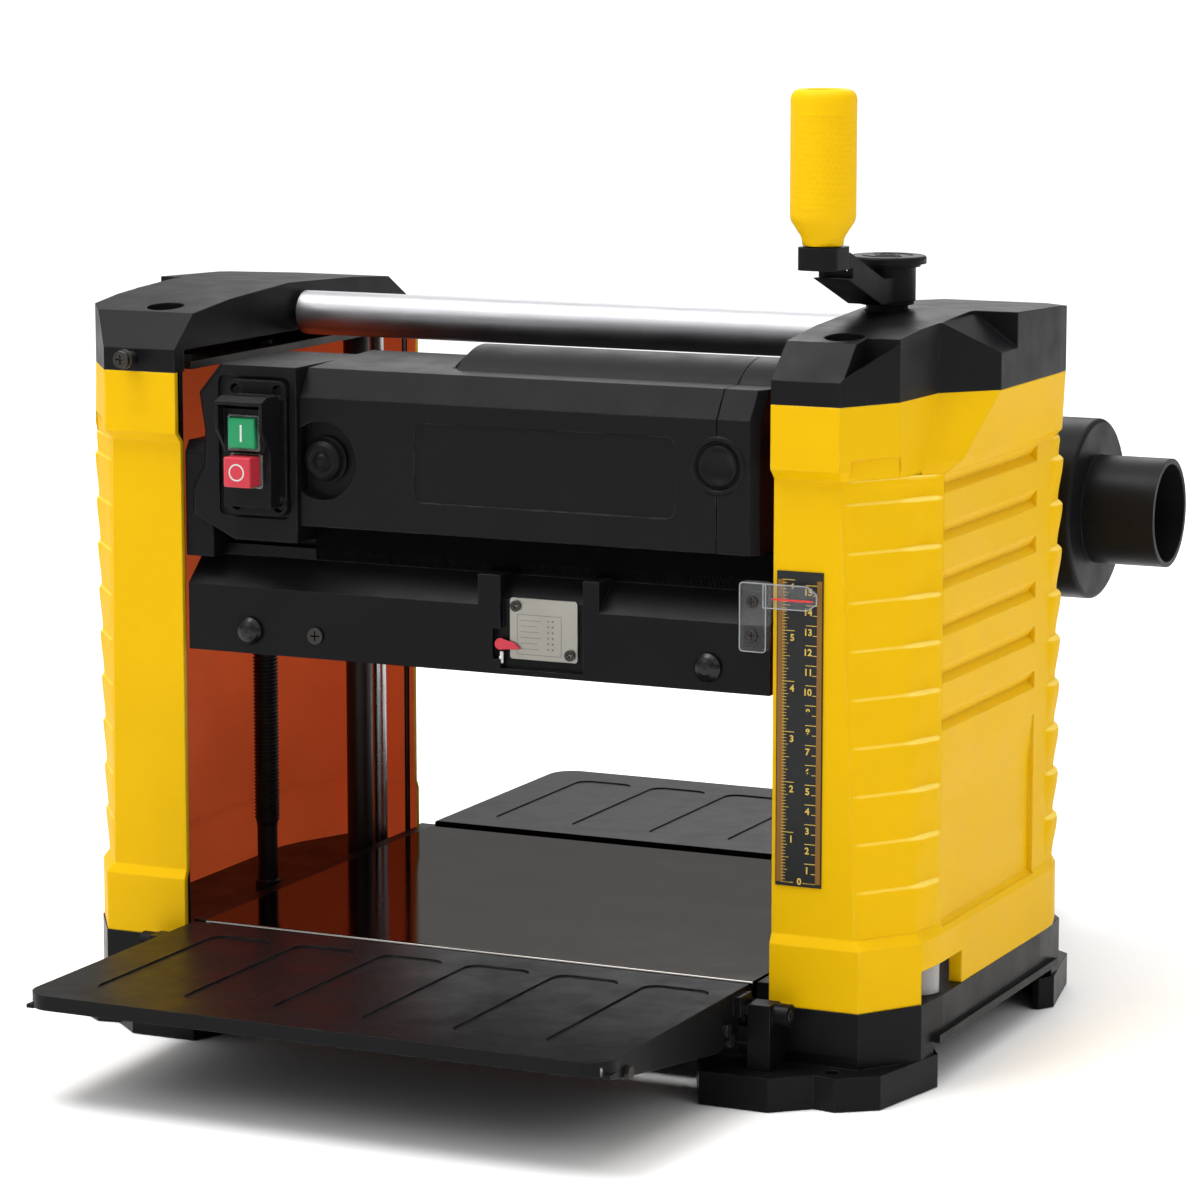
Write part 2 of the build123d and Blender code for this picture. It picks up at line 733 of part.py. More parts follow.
save(cap_screws, "cap_screws")

# ---------------------------------------------------------------- carriage frame
gauge_left = 17.0
gauge_right = 63.6
lug_bottom = 229.0
lug_top = 256.0
lug_out = 195.0
side_plate = 7.5
bearing_r = 14.0
shaft_r = 6.0
journal_r = 5.0
bush_r = 8.0
infeed_y = cutter_y - roller_gap
outfeed_y = cutter_y + roller_gap

with BuildPart() as carriage_frame:
    # front beam with its sloping upper face
    with BuildSketch(Plane.YZ):
        Polygon((beam_front, beam_bottom), (beam_front, beam_face_top), (-115, beam_top), (-104, beam_top),
                (-104, beam_bottom + 8), (-108, beam_bottom), align=None)
    extrude(amount=beam_half, both=True)
    # flat pads either side of the removal gauge
    for low, high in ((4.4, gauge_left), (gauge_right, 72.5)):
        with BuildSketch(Plane.XY.offset(beam_bottom)):
            with Locations(((low + high) / 2, -123)):
                Rectangle(high - low, 16)
        extrude(amount=beam_top + 1.5 - beam_bottom)
    with BuildSketch(Plane.XZ.offset(-beam_front - 3.5)):
        with Locations(((gauge_left + gauge_right) / 2, (beam_bottom + beam_top) / 2 + 2)):
            Rectangle(gauge_right - gauge_left, beam_top - beam_bottom - 2)
    extrude(amount=10, mode=Mode.SUBTRACT)
    # upright wall that closes the gap under the motor cover
    with BuildSketch(Plane.XZ.offset(104)):
        Polygon((-beam_half, beam_top), (-beam_half, 261.4), (cover_left + 1, 261.4),
                (cover_left + 1, cover_low - 0.3), (beam_half, cover_low - 0.3), (beam_half, beam_top), align=None)
    extrude(amount=4)
    # top deck, rear beam and the two side plates
    with BuildSketch(Plane.XY.offset(beam_top)):
        with Locations((0, 1)):
            Rectangle(2 * beam_half, 234)
    extrude(amount=6)
    with BuildSketch(Plane.XZ.offset(-112)):
        with Locations((0, (beam_bottom + beam_top) / 2 + 4)):
            Rectangle(2 * beam_half, beam_top - beam_bottom - 6)
        with Locations((0, 236)):
            Rectangle(300, 24, mode=Mode.SUBTRACT)
    extrude(amount=-6)
    for side in (-1, 1):
        with BuildSketch(Plane.YZ.offset(side * (beam_half - side_plate / 2))):
            Polygon((-131, beam_bottom), (118, beam_bottom + 4), (118, beam_top + 6), (-115, beam_top + 6),
                    (-115, beam_top), (-131, beam_face_top), align=None)
        extrude(amount=side_plate / 2, both=True)
        # lugs that reach into the columns
        with BuildSketch(Plane.XY.offset(lug_bottom)):
            with Locations((side * (beam_half + lug_out) / 2, screw_y)):
                Rectangle(lug_out - beam_half, 33)
            with Locations((side * (beam_half + lug_out) / 2, 92)):
                Rectangle(lug_out - beam_half, 44)
        extrude(amount=lug_top - lug_bottom)
        with BuildSketch(Plane.XY.offset(lug_bottom - 1)):
            with Locations((side * screw_x, screw_y)):
                Circle(screw_r + 4)
            with Locations((side * post_x, post_y)):
                Circle(post_r + 2.5)
            with Locations((side * rod_x, rod_y)):
                Circle(rod_r + run)
        extrude(amount=lug_top - lug_bottom + 2, mode=Mode.SUBTRACT)
        # seats for the cutterhead bearings and the feed roller bushes
        with BuildSketch(Plane.YZ.offset(side * (beam_half - side_plate - 1))):
            with Locations((cutter_y, cutter_z)):
                Circle(bearing_r)
            with Locations((infeed_y, roller_z), (outfeed_y, roller_z)):
                Circle(bush_r)
        extrude(amount=side * (side_plate + 2), mode=Mode.SUBTRACT)
    # arms that carry the motor
    for low in (-28.0, 96.0):
        with BuildSketch(Plane.YZ.offset(low)):
            Polygon((-105, beam_top + 4), (-34, beam_top + 4), (-34, 300), (-50, 319), (-100, 319),
                    (-105, 300), align=None)
            with Locations((motor_y, motor_z)):
                Circle(38.0, mode=Mode.SUBTRACT)
        extrude(amount=5)
    # seat for the gauge's sliding pointer
    with BuildSketch(Plane.XZ.offset(-beam_front)):
        with Locations((gauge_left - 2, 217)):
            Rectangle(5, 16)
    extrude(amount=-3.5, mode=Mode.SUBTRACT)

save(carriage_frame, "carriage_frame")

with BuildPart() as screw_nuts:
    for side in (-1, 1):
        with BuildSketch(Plane.XY.offset(lug_bottom - 3)):
            with Locations((side * screw_x, screw_y)):
                Circle(screw_r + 4)
                Circle(screw_r + run, mode=Mode.SUBTRACT)
        extrude(amount=lug_top - lug_bottom + 6)

save(screw_nuts, "screw_nuts")

with BuildPart() as guide_bushes:
    for side in (-1, 1):
        with BuildSketch(Plane.XY.offset(lug_bottom)):
            with Locations((side * post_x, post_y)):
                Circle(post_r + 2.5)
                Circle(post_r + run, mode=Mode.SUBTRACT)
        extrude(amount=lug_top - lug_bottom + 2)

save(guide_bushes, "guide_bushes")

with BuildPart() as ball_bearings:
    for side in (-1, 1):
        with BuildSketch(Plane.YZ.offset(side * (beam_half - side_plate))):
            with Locations((cutter_y, cutter_z)):
                Circle(bearing_r)
                Circle(shaft_r + run, mode=Mode.SUBTRACT)
        extrude(amount=side * side_plate)

save(ball_bearings, "ball_bearings")

with BuildPart() as roller_bushes:
    for side in (-1, 1):
        for along in (infeed_y, outfeed_y):
            with BuildSketch(Plane.YZ.offset(side * (beam_half - side_plate))):
                with Locations((along, roller_z)):
                    Circle(bush_r)
                    Circle(journal_r + run, mode=Mode.SUBTRACT)
            extrude(amount=side * side_plate)

save(roller_bushes, "roller_bushes")

# ---------------------------------------------------------------- cutterhead and feed rollers
cutter_half = 157.0
pulley_in = 196.0
pulley_width = 11.0
cutter_pulley_r = 19.0
motor_pulley_r = 16.0
knife_count = 3

with BuildPart() as cutterhead:
    with BuildSketch(Plane.YZ):
        with Locations((cutter_y, cutter_z)):
            Circle(cutter_r)
    extrude(amount=cutter_half, both=True)
    for k in range(knife_count):
        angle = 360 / knife_count * k + 20
        slot = Plane(origin=(0, cutter_y, cutter_z), x_dir=(0, cos(radians(angle)), sin(radians(angle))),
                     z_dir=(1, 0, 0))
        with BuildSketch(slot):
            with Locations((cutter_r - 4.5, 0)):
                Rectangle(14, 12)
        extrude(amount=cutter_half + 1, both=True, mode=Mode.SUBTRACT)
    with BuildSketch(Plane.YZ):
        with Locations((cutter_y, cutter_z)):
            Circle(shaft_r)
    extrude(amount=168.0, both=True)
    with BuildSketch(Plane.YZ.offset(160)):
        with Locations((cutter_y, cutter_z)):
            Circle(shaft_r)
    extrude(amount=pulley_in + pulley_width + 3 - 160)

save(cutterhead, "cutterhead")

with BuildPart() as knives:
    for k in range(knife_count):
        angle = 360 / knife_count * k + 20
        slot = Plane(origin=(0, cutter_y, cutter_z), x_dir=(0, cos(radians(angle)), sin(radians(angle))),
                     z_dir=(1, 0, 0))
        with BuildSketch(slot):
            Polygon((cutter_r - 11, 4.2), (knife_r, 4.2), (knife_r - 2.2, 6), (cutter_r - 11, 6), align=None)
        extrude(amount=cutter_half, both=True)

save(knives, "knives")

with BuildPart() as knife_clamps:
    for k in range(knife_count):
        angle = 360 / knife_count * k + 20
        slot = Plane(origin=(0, cutter_y, cutter_z), x_dir=(0, cos(radians(angle)), sin(radians(angle))),
                     z_dir=(1, 0, 0))
        with BuildSketch(slot):
            Polygon((cutter_r - 11, -6), (cutter_r - 4, -6), (cutter_r - 1.2, 4.2), (cutter_r - 11, 4.2),
                    align=None)
        extrude(amount=cutter_half, both=True)

save(knife_clamps, "knife_clamps")


def belt_pulley(y, z, r, bore, name):
    """Grooved belt pulley on an X axle."""
    with BuildPart() as pulley:
        with BuildSketch(Plane.XZ):
            Polygon((pulley_in, bore), (pulley_in, r + 1.4), (pulley_in + 1.2, r + 1.4), (pulley_in + 1.2, r),
                    (pulley_in + pulley_width - 1.2, r), (pulley_in + pulley_width - 1.2, r + 1.4),
                    (pulley_in + pulley_width, r + 1.4), (pulley_in + pulley_width, bore), align=None)
        revolve(axis=Axis.X)
    placed = Pos(0, y, z) * pulley.part
    placed.label = name
    export_step(placed, "parts/" + name + ".step")


belt_pulley(cutter_y, cutter_z, cutter_pulley_r, shaft_r, "cutterhead_pulley")
belt_pulley(motor_y, motor_z, motor_pulley_r, journal_r, "motor_pulley")

belt_dy = motor_y - cutter_y
belt_dz = motor_z - cutter_z
belt_span = hypot(belt_dy, belt_dz)
belt_plane = Plane(origin=(pulley_in + 1.6, cutter_y, cutter_z),
                   x_dir=(0, belt_dy / belt_span, belt_dz / belt_span), z_dir=(1, 0, 0))


def belt_loop(offset):
    """Closed loop round both pulleys, offset outwards from their rims."""
    big = cutter_pulley_r + offset
    small = motor_pulley_r + offset
    lean = (big - small) / belt_span
    rise = sqrt(1 - lean * lean)
    with BuildSketch(mode=Mode.PRIVATE) as loop:
        with BuildLine():
            l1 = Line((big * lean, big * rise), (belt_span + small * lean, small * rise))
            ThreePointArc(l1 @ 1, (belt_span + small, 0), (belt_span + small * lean, -small * rise))
            l2 = Line((belt_span + small * lean, -small * rise), (big * lean, -big * rise))
            ThreePointArc(l2 @ 1, (-big, 0), l1 @ 0)
        make_face()
    return loop.sketch


with BuildPart() as drive_belt:
    with BuildSketch(belt_plane):
        add(belt_loop(3.2))
        add(belt_loop(0.3), mode=Mode.SUBTRACT)
    extrude(amount=pulley_width - 3.2)

save(drive_belt, "drive_belt")

for along, name in ((infeed_y, "infeed_roller"), (outfeed_y, "outfeed_roller")):
    with BuildPart() as feed_roller:
        with BuildSketch(Plane.YZ):
            with Locations((along, roller_z)):
                Circle(roller_r)
        extrude(amount=cutter_half - 1, both=True)
        with BuildSketch(Plane.YZ):
            with Locations((along, roller_z)):
                Circle(journal_r)
        extrude(amount=167.5, both=True)
    save(feed_roller, name)

gearcase_z = 217.0
gearcase_height = 22.0
with BuildPart() as feed_gearcase:
    with BuildSketch(Plane.YZ.offset(-beam_half - 0.4)):
        with Locations((30, gearcase_z)):
            RectangleRounded(162, gearcase_height, 8)
        with Locations((cutter_y, cutter_z)):
            Circle(shaft_r + 0.5, mode=Mode.SUBTRACT)
        with Locations((infeed_y, roller_z), (outfeed_y, roller_z)):
            Circle(journal_r + 0.5, mode=Mode.SUBTRACT)
    extrude(amount=-2.4)
    with BuildSketch(Plane.YZ.offset(-beam_half - 2.8)):
        with Locations((30, gearcase_z)):
            RectangleRounded(162, gearcase_height, 8)
    extrude(amount=-2.4)

save(feed_gearcase, "feed_gearcase")

# ---------------------------------------------------------------- motor
with BuildPart() as motor_stator:
    with BuildSketch(Plane.YZ.offset(0)):
        with Locations((motor_y, motor_z)):
            Circle(38.0)
            Circle(29.0, mode=Mode.SUBTRACT)
    extrude(amount=86)

save(motor_stator, "motor_stator")

with BuildPart() as motor_armature:
    with BuildSketch(Plane.YZ.offset(-50)):
        with Locations((motor_y, motor_z)):
            Circle(journal_r)
    extrude(amount=pulley_in + pulley_width + 3 + 50)
    with BuildSketch(Plane.YZ.offset(4)):
        with Locations((motor_y, motor_z)):
            Circle(28.0)
    extrude(amount=78)
    with BuildSketch(Plane.YZ.offset(-24)):
        with Locations((motor_y, motor_z)):
            Circle(15.0)
    extrude(amount=20)
    # cooling fan blades
    with BuildSketch(Plane.YZ.offset(104)):
        with Locations((motor_y, motor_z)):
            Circle(12)
            with PolarLocations(22, 9):
                Rectangle(24, 2.2)
    extrude(amount=14)

save(motor_armature, "motor_armature")

# ---------------------------------------------------------------- motor cover
cover_rear = -30.0


def cover_profile(shrink=0.0):
    """Side profile of the long motor cover."""
    return [(cover_front + shrink, cover_low - (1 if shrink else 0)),
            (cover_front + shrink, cover_face_top - shrink / 3),
            (-121.0 + shrink * 0.6, cover_edge - shrink),
            (-50.0, 355.0 - shrink),
            (-38.0, 348.0 - shrink),
            (cover_rear - shrink, 330.0 - shrink),
            (cover_rear - shrink, cover_low - (1 if shrink else 0))]


barrel_start = -34.0
recess_x = -86.0
recess_z = 305.5
recess_r = 20.5
recess_deep = 7.5
recess_hub_r = 9.5
with BuildPart() as cover_block:
    with BuildSketch(Plane.YZ.offset(cover_left)):
        Polygon(*cover_profile(), align=None)
    extrude(amount=end_cap_right - cover_left)
    with BuildSketch(Plane.YZ.offset(barrel_start)):
        with Locations((motor_y, motor_z)):
            Circle(cover_r - 12)
    with BuildSketch(Plane.YZ.offset(barrel_start + 14)):
        with Locations((motor_y, motor_z)):
            Circle(cover_r)
    loft(ruled=True)
    with BuildSketch(Plane.YZ.offset(barrel_start + 14)):
        with Locations((motor_y, motor_z)):
            Circle(cover_r)
    extrude(amount=end_cap_right - barrel_start - 14)
    chamfer(cover_block.faces().sort_by(Axis.X)[-1].edges().filter_by(lambda e: e.center().Y < -118), 4)

with BuildPart() as cover_core:
    with BuildSketch(Plane.YZ.offset(cover_left - 1)):
        Polygon(*cover_profile(3.0), align=None)
    extrude(amount=end_cap_right - 3 - cover_left)
    with BuildSketch(Plane.YZ.offset(barrel_start + 8)):
        with Locations((motor_y, motor_z)):
            Circle(cover_r - 3)
    extrude(amount=end_cap_right - 3 - barrel_start - 8)
    # way out for the motor shaft
    with BuildSketch(Plane.YZ.offset(140)):
        with Locations((motor_y, motor_z)):
            Circle(8)
    extrude(amount=30)

with BuildPart() as cover_shell:
    add(cover_block.part)
    add(cover_core.part, mode=Mode.SUBTRACT)
    # seat for the round brush cap on the seam
    with BuildSketch(Plane.XZ.offset(-cover_front - 4)):
        with Locations((137.3, 315)):
            Circle(13.5)
    extrude(amount=8, mode=Mode.SUBTRACT)
    # shallow panel for a label
    with BuildSketch(Plane.XZ.offset(-cover_front - 0.8)):
        with Locations((41, 307.5)):
            RectangleRounded(146, 41, 5)
    extrude(amount=3, mode=Mode.SUBTRACT)
    # round recess over the left motor bearing, with a hub on its floor
    with BuildSketch(Plane.XZ.offset(-cover_front)):
        with Locations((recess_x, recess_z)):
            Circle(recess_r + 3)
        with Locations((cover_left + 30, recess_z)):
            Rectangle(60, 60, mode=Mode.INTERSECT)
    extrude(amount=-recess_deep - 3)
    with BuildSketch(Plane.XZ.offset(-cover_front)):
        with Locations((recess_x, recess_z)):
            Circle(recess_r)
    extrude(amount=-recess_deep, mode=Mode.SUBTRACT)
    with BuildSketch(Plane.XZ.offset(-cover_front - recess_deep - 1)):
        with Locations((recess_x, recess_z)):
            Circle(recess_hub_r)
    extrude(amount=recess_deep - 1)
    # cooling slots in the rear
    with BuildSketch(Plane.XZ.offset(-cover_rear + 8)):
        with Locations((60, 300)):
            with GridLocations(9, 0, 12, 1):
                SlotOverall(30, 4, rotation=90)
    extrude(amount=-16, mode=Mode.SUBTRACT)

with BuildPart() as motor_cover:
    add(cover_shell.part)
    with BuildSketch(Plane.YZ.offset(cover_right)):
        with Locations((-75, 310)):
            Rectangle(200, 200)
    extrude(amount=60, mode=Mode.SUBTRACT)

with BuildPart() as motor_end_cap:
    add(cover_shell.part)
    with BuildSketch(Plane.YZ.offset(cover_right + 0.5)):
        with Locations((-75, 310)):
            Rectangle(200, 200)
    extrude(amount=-300, mode=Mode.SUBTRACT)

save(motor_cover, "motor_cover")
save(motor_end_cap, "motor_end_cap")

with BuildPart() as brush_cap:
    with BuildSketch(Plane.XZ.offset(-cover_front - 4)):
        with Locations((137.3, 315)):
            Circle(13.4)
    extrude(amount=3.2)
    with BuildSketch(Plane.XZ.offset(-cover_front - 0.8)):
        with Locations((137.3, 315)):
            Circle(13.4)
            Circle(11.2, mode=Mode.SUBTRACT)
    extrude(amount=1.6)
    with BuildSketch(Plane.XZ.offset(-cover_front - 0.8)):
        with Locations((137.3, 315)):
            Circle(8.6)
    extrude(amount=1.0)

save(brush_cap, "brush_cap")

# ---------------------------------------------------------------- switch
switch_front = -153.0
with BuildPart() as switch_housing:
    with BuildSketch(Plane.XZ.offset(60)):
        Polygon((cover_left - 0.4, 262), (cover_left - 0.4, 353.5), (-145, 353.5), (-158, 338),
                (-155, 318), (-156, 300), (housing_left, 288), (housing_left, 275), (-136, 262), align=None)
    extrude(amount=73.5)
    chamfer(switch_housing.edges().filter_by(lambda e: e.center().Y < -133 and e.center().X < -150), 3.0)
    # recess round the switch
    with BuildSketch(Plane.XZ.offset(131.5)):
        with Locations((-124, 311)):
            RectangleRounded(42, 74, 4)
    extrude(amount=4, mode=Mode.SUBTRACT)
    # hollow behind
    with BuildSketch(Plane.XZ.offset(59)):
        with Locations((-124, 307)):
            Rectangle(44, 80)
    extrude(amount=68, mode=Mode.SUBTRACT)

save(switch_housing, "switch_housing")

start_box = (-122.5, 320.3, 19.5, 18.6)
stop_box = (-122.5, 299.5, 23.5, 19.0)
with BuildPart() as switch_box:
    with BuildSketch(Plane.XZ.offset(131.5)):
        with Locations((-122.5, 311)):
            RectangleRounded(36, 70, 5)
    extrude(amount=4)
    with BuildSketch(Plane.XZ.offset(131.5)):
        with Locations((-122.5, 309)):
            RectangleRounded(33, 57, 2)
    extrude(amount=-switch_front - 131.5)
    for x, z, wide, tall in (start_box, stop_box):
        with BuildSketch(Plane.XZ.offset(139)):
            with Locations((x, z)):
                RectangleRounded(wide + 2 * gap, tall + 2 * gap, 1.5)
        extrude(amount=20, mode=Mode.SUBTRACT)

save(switch_box, "switch_box")

for (x, z, wide, tall), name, front in ((start_box, "start_button", 156.5), (stop_box, "stop_button", 161.0)):
    with BuildPart() as button:
        with BuildSketch(Plane.XZ.offset(142.5)):
            with Locations((x, z)):
                RectangleRounded(wide, tall, 1.5)
        extrude(amount=front - 142.5)
        chamfer(button.faces().sort_by(Axis.Y)[0].edges(), 0.8)
    save(button, name)

# ---------------------------------------------------------------- fittings on the beam
with BuildPart() as gauge_plate:
    with BuildSketch(Plane.XZ.offset(-beam_front - 3.5)):
        with Locations((40.5, 225.4)):
            RectangleRounded(38, 31.5, 1.5)
    extrude(amount=1.5)

save(gauge_plate, "gauge_plate")

with BuildPart() as gauge_pointer:
    with BuildSketch(Plane.XZ.offset(-beam_front - 1.7)):
        Polygon((gauge_left - 3.5, 213.5), (gauge_left + 3, 213.5), (gauge_left + 11, 216.5),
                (gauge_left + 3, 219.5), (gauge_left - 3.5, 219.5), align=None)
    extrude(amount=1.4)

save(gauge_pointer, "gauge_pointer")

with BuildPart() as scale_pointer:
    with BuildSketch(Plane.XZ.offset(-beam_front)):
        with Locations((159, 241.6)):
            RectangleRounded(14.5, 35, 2)
    extrude(amount=6)
    with BuildSketch(Plane.XZ.offset(-beam_front + 3.8)):
        Polygon((158, 246.5), (158, 259), (188, 259), (193.3, 255), (193.3, 250), (188, 246.5), align=None)
    extrude(amount=2.2)

save(scale_pointer, "scale_pointer")

with BuildPart() as beam_bumpers:
    for along in (-129.0, 132.7):
        with BuildSketch(Plane(origin=(along, beam_front, 213.6), x_dir=(1, 0, 0), z_dir=(0, 0, 1))):
            Polygon((0, 0), (7.3, 0), (7.3, -1.8), (5.6, -3.8), (3.2, -4.9), (0, -5.2), align=None)
        revolve(axis=Axis((along, 0, 213.6), (0, 1, 0)))

save(beam_bumpers, "beam_bumpers")

screw_heads = [(-90.0, 213.6, -beam_front, 4.4), (159.0, 249.5, 6 - beam_front, 3.0)]
screw_heads += [(159.0, 232.4, 6 - beam_front, 3.0), (25.0, 237.0, 2 - 3.5 - beam_front - 0.5, 2.8)]
screw_heads += [(55.5, 213.5, 2 - 3.5 - beam_front - 0.5, 2.8)]

with BuildPart() as beam_screws:
    for x, z, out, r in screw_heads:
        with BuildSketch(Plane.XZ.offset(out)):
            with Locations((x, z)):
                Circle(r)
                Rectangle(r * 1.2, 0.8, mode=Mode.SUBTRACT)
                Rectangle(0.8, r * 1.2, mode=Mode.SUBTRACT)
        extrude(amount=1.4)

save(beam_screws, "beam_screws")

# ---------------------------------------------------------------- dust hood and its port
with BuildPart() as hood_solid:
    with BuildSketch(Plane.YZ.offset(-150)):
        with Locations((port_y, port_z)):
            Circle(44)
        Polygon((118.3, 216), (118.3, 254), (160, 294), (190, 303), (190, 215), (160, 213), align=None)
    extrude(amount=300)
    with BuildSketch(Plane.YZ.offset(150)):
        with Locations((port_y, port_z)):
            Circle(44)
    extrude(amount=drum_end - 34 - 150)
    with BuildSketch(Plane.YZ.offset(drum_end - 34)):
        with Locations((port_y, port_z)):
            Circle(drum_r)
    extrude(amount=34)
    fillet(hood_solid.edges().filter_by(GeomType.CIRCLE).group_by(Axis.X)[-1], 2.5)
    with BuildSketch(Plane.YZ.offset(drum_end)):
        with Locations((port_y, port_z)):
            Circle(tube_r)
    extrude(amount=tube_end - drum_end)

with BuildPart() as dust_hood:
    add(hood_solid.part)
    with BuildSketch(Plane.YZ.offset(-147)):
        with Locations((port_y, port_z)):
            Circle(41)
    extrude(amount=drum_end - 3 + 147, mode=Mode.SUBTRACT)
    with BuildSketch(Plane.YZ.offset(-147)):
        Polygon((117, 223), (117, 249), (160, 289), (187, 298), (187, 220), (160, 217), align=None)
    extrude(amount=294, mode=Mode.SUBTRACT)
    with BuildSketch(Plane.YZ.offset(drum_end - 31)):
        with Locations((port_y, port_z)):
            Circle(drum_r - 3)
    extrude(amount=28, mode=Mode.SUBTRACT)
    with BuildSketch(Plane.YZ.offset(drum_end - 5)):
        with Locations((port_y, port_z)):
            Circle(tube_r - port_wall)
    extrude(amount=60, mode=Mode.SUBTRACT)

save(dust_hood, "dust_hood")

with BuildPart() as hood_knobs:
    for x in (-110, 0, 110):
        knob_seat = Plane(origin=(x, 150, 288), x_dir=(1, 0, 0), z_dir=(0, -0.69, 0.72))
        with BuildSketch(knob_seat):
            Circle(9)
            with PolarLocations(9.5, 6):
                Circle(2.4, mode=Mode.SUBTRACT)
        extrude(amount=9)

save(hood_knobs, "hood_knobs")
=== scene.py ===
"""Looks of the thickness planer: its materials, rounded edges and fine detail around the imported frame."""

import json
from math import cos, pi, radians, sin

import bmesh
import bpy
from mathutils import Matrix, Vector


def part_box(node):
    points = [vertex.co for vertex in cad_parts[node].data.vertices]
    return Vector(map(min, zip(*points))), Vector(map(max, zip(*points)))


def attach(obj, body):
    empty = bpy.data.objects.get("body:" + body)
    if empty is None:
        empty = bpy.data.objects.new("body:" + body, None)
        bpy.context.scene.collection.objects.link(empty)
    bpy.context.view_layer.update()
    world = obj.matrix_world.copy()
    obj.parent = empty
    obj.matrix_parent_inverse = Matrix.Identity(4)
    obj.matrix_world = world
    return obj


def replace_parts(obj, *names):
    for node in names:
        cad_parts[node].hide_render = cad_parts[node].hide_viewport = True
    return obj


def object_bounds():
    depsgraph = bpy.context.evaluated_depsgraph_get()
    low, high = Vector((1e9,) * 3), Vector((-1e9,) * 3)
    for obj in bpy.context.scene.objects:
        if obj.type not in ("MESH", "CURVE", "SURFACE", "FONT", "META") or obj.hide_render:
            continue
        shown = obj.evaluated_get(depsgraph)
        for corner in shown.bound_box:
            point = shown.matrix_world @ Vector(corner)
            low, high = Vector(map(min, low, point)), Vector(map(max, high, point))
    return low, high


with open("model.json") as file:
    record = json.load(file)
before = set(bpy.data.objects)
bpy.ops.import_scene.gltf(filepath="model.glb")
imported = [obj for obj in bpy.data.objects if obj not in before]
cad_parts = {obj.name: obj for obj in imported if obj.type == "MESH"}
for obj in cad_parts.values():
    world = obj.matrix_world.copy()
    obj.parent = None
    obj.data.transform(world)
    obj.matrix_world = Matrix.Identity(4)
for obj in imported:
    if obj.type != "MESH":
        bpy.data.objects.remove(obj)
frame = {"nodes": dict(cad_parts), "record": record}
nodes = frame["nodes"]
cad_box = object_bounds()
MM = 0.001
for plain in list(bpy.data.materials):
    bpy.data.materials.remove(plain)


# ---- shader helpers ----------------------------------------------------------------------------

def add(tree, kind, inputs=(), **settings):
    """A shader node, its inputs linked or set."""
    made = tree.nodes.new("ShaderNode" + kind)
    for key, value in settings.items():
        setattr(made, key, value)
    for key, value in dict(inputs).items():
        if isinstance(value, bpy.types.NodeSocket):
            tree.links.new(value, made.inputs[key])
        else:
            made.inputs[key].default_value = value
    return made


def noise(tree, place, scale, detail=3.0, rough=0.55):
    """Soft random patches: a value near 0.5 that varies over the surface."""
    made = add(tree, "TexNoise", {"Vector": place, "Scale": scale, "Detail": detail, "Roughness": rough})
    return made.outputs["Fac"]


def ramp(tree, value, low, high, out_low=0.0, out_high=1.0):
    """Maps a value from one range onto another, held at its ends."""
    made = add(tree, "MapRange", {"Value": value, "From Min": low, "From Max": high,
                                  "To Min": out_low, "To Max": out_high})
    return made.outputs["Result"]


def times(tree, a, b):
    """Product of two values."""
    return add(tree, "Math", {0: a, 1: b}, operation="MULTIPLY").outputs["Value"]


def blend_color(tree, share, a, b):
    """Colour a where share is 0 and colour b where it is 1."""
    made = add(tree, "Mix", data_type="RGBA")
    factor, first, second = made.inputs[0], made.inputs[6], made.inputs[7]
    for socket, value in ((factor, share), (first, a), (second, b)):
        if isinstance(value, bpy.types.NodeSocket):
            tree.links.new(value, socket)
        else:
            socket.default_value = value
    return made.outputs[2]


def rgb(red, green, blue):
    """A colour of 0 to 255 display values, as the shader's linear one."""
    return tuple((v / 255 / 12.92) if v < 10 else ((v / 255 + 0.055) / 1.055) ** 2.4
                 for v in (red, green, blue)) + (1.0,)


def shaded(color, factor):
    """A darker or lighter version of a colour."""
    return tuple(min(1.0, v * factor) for v in color[:3]) + (1.0,)


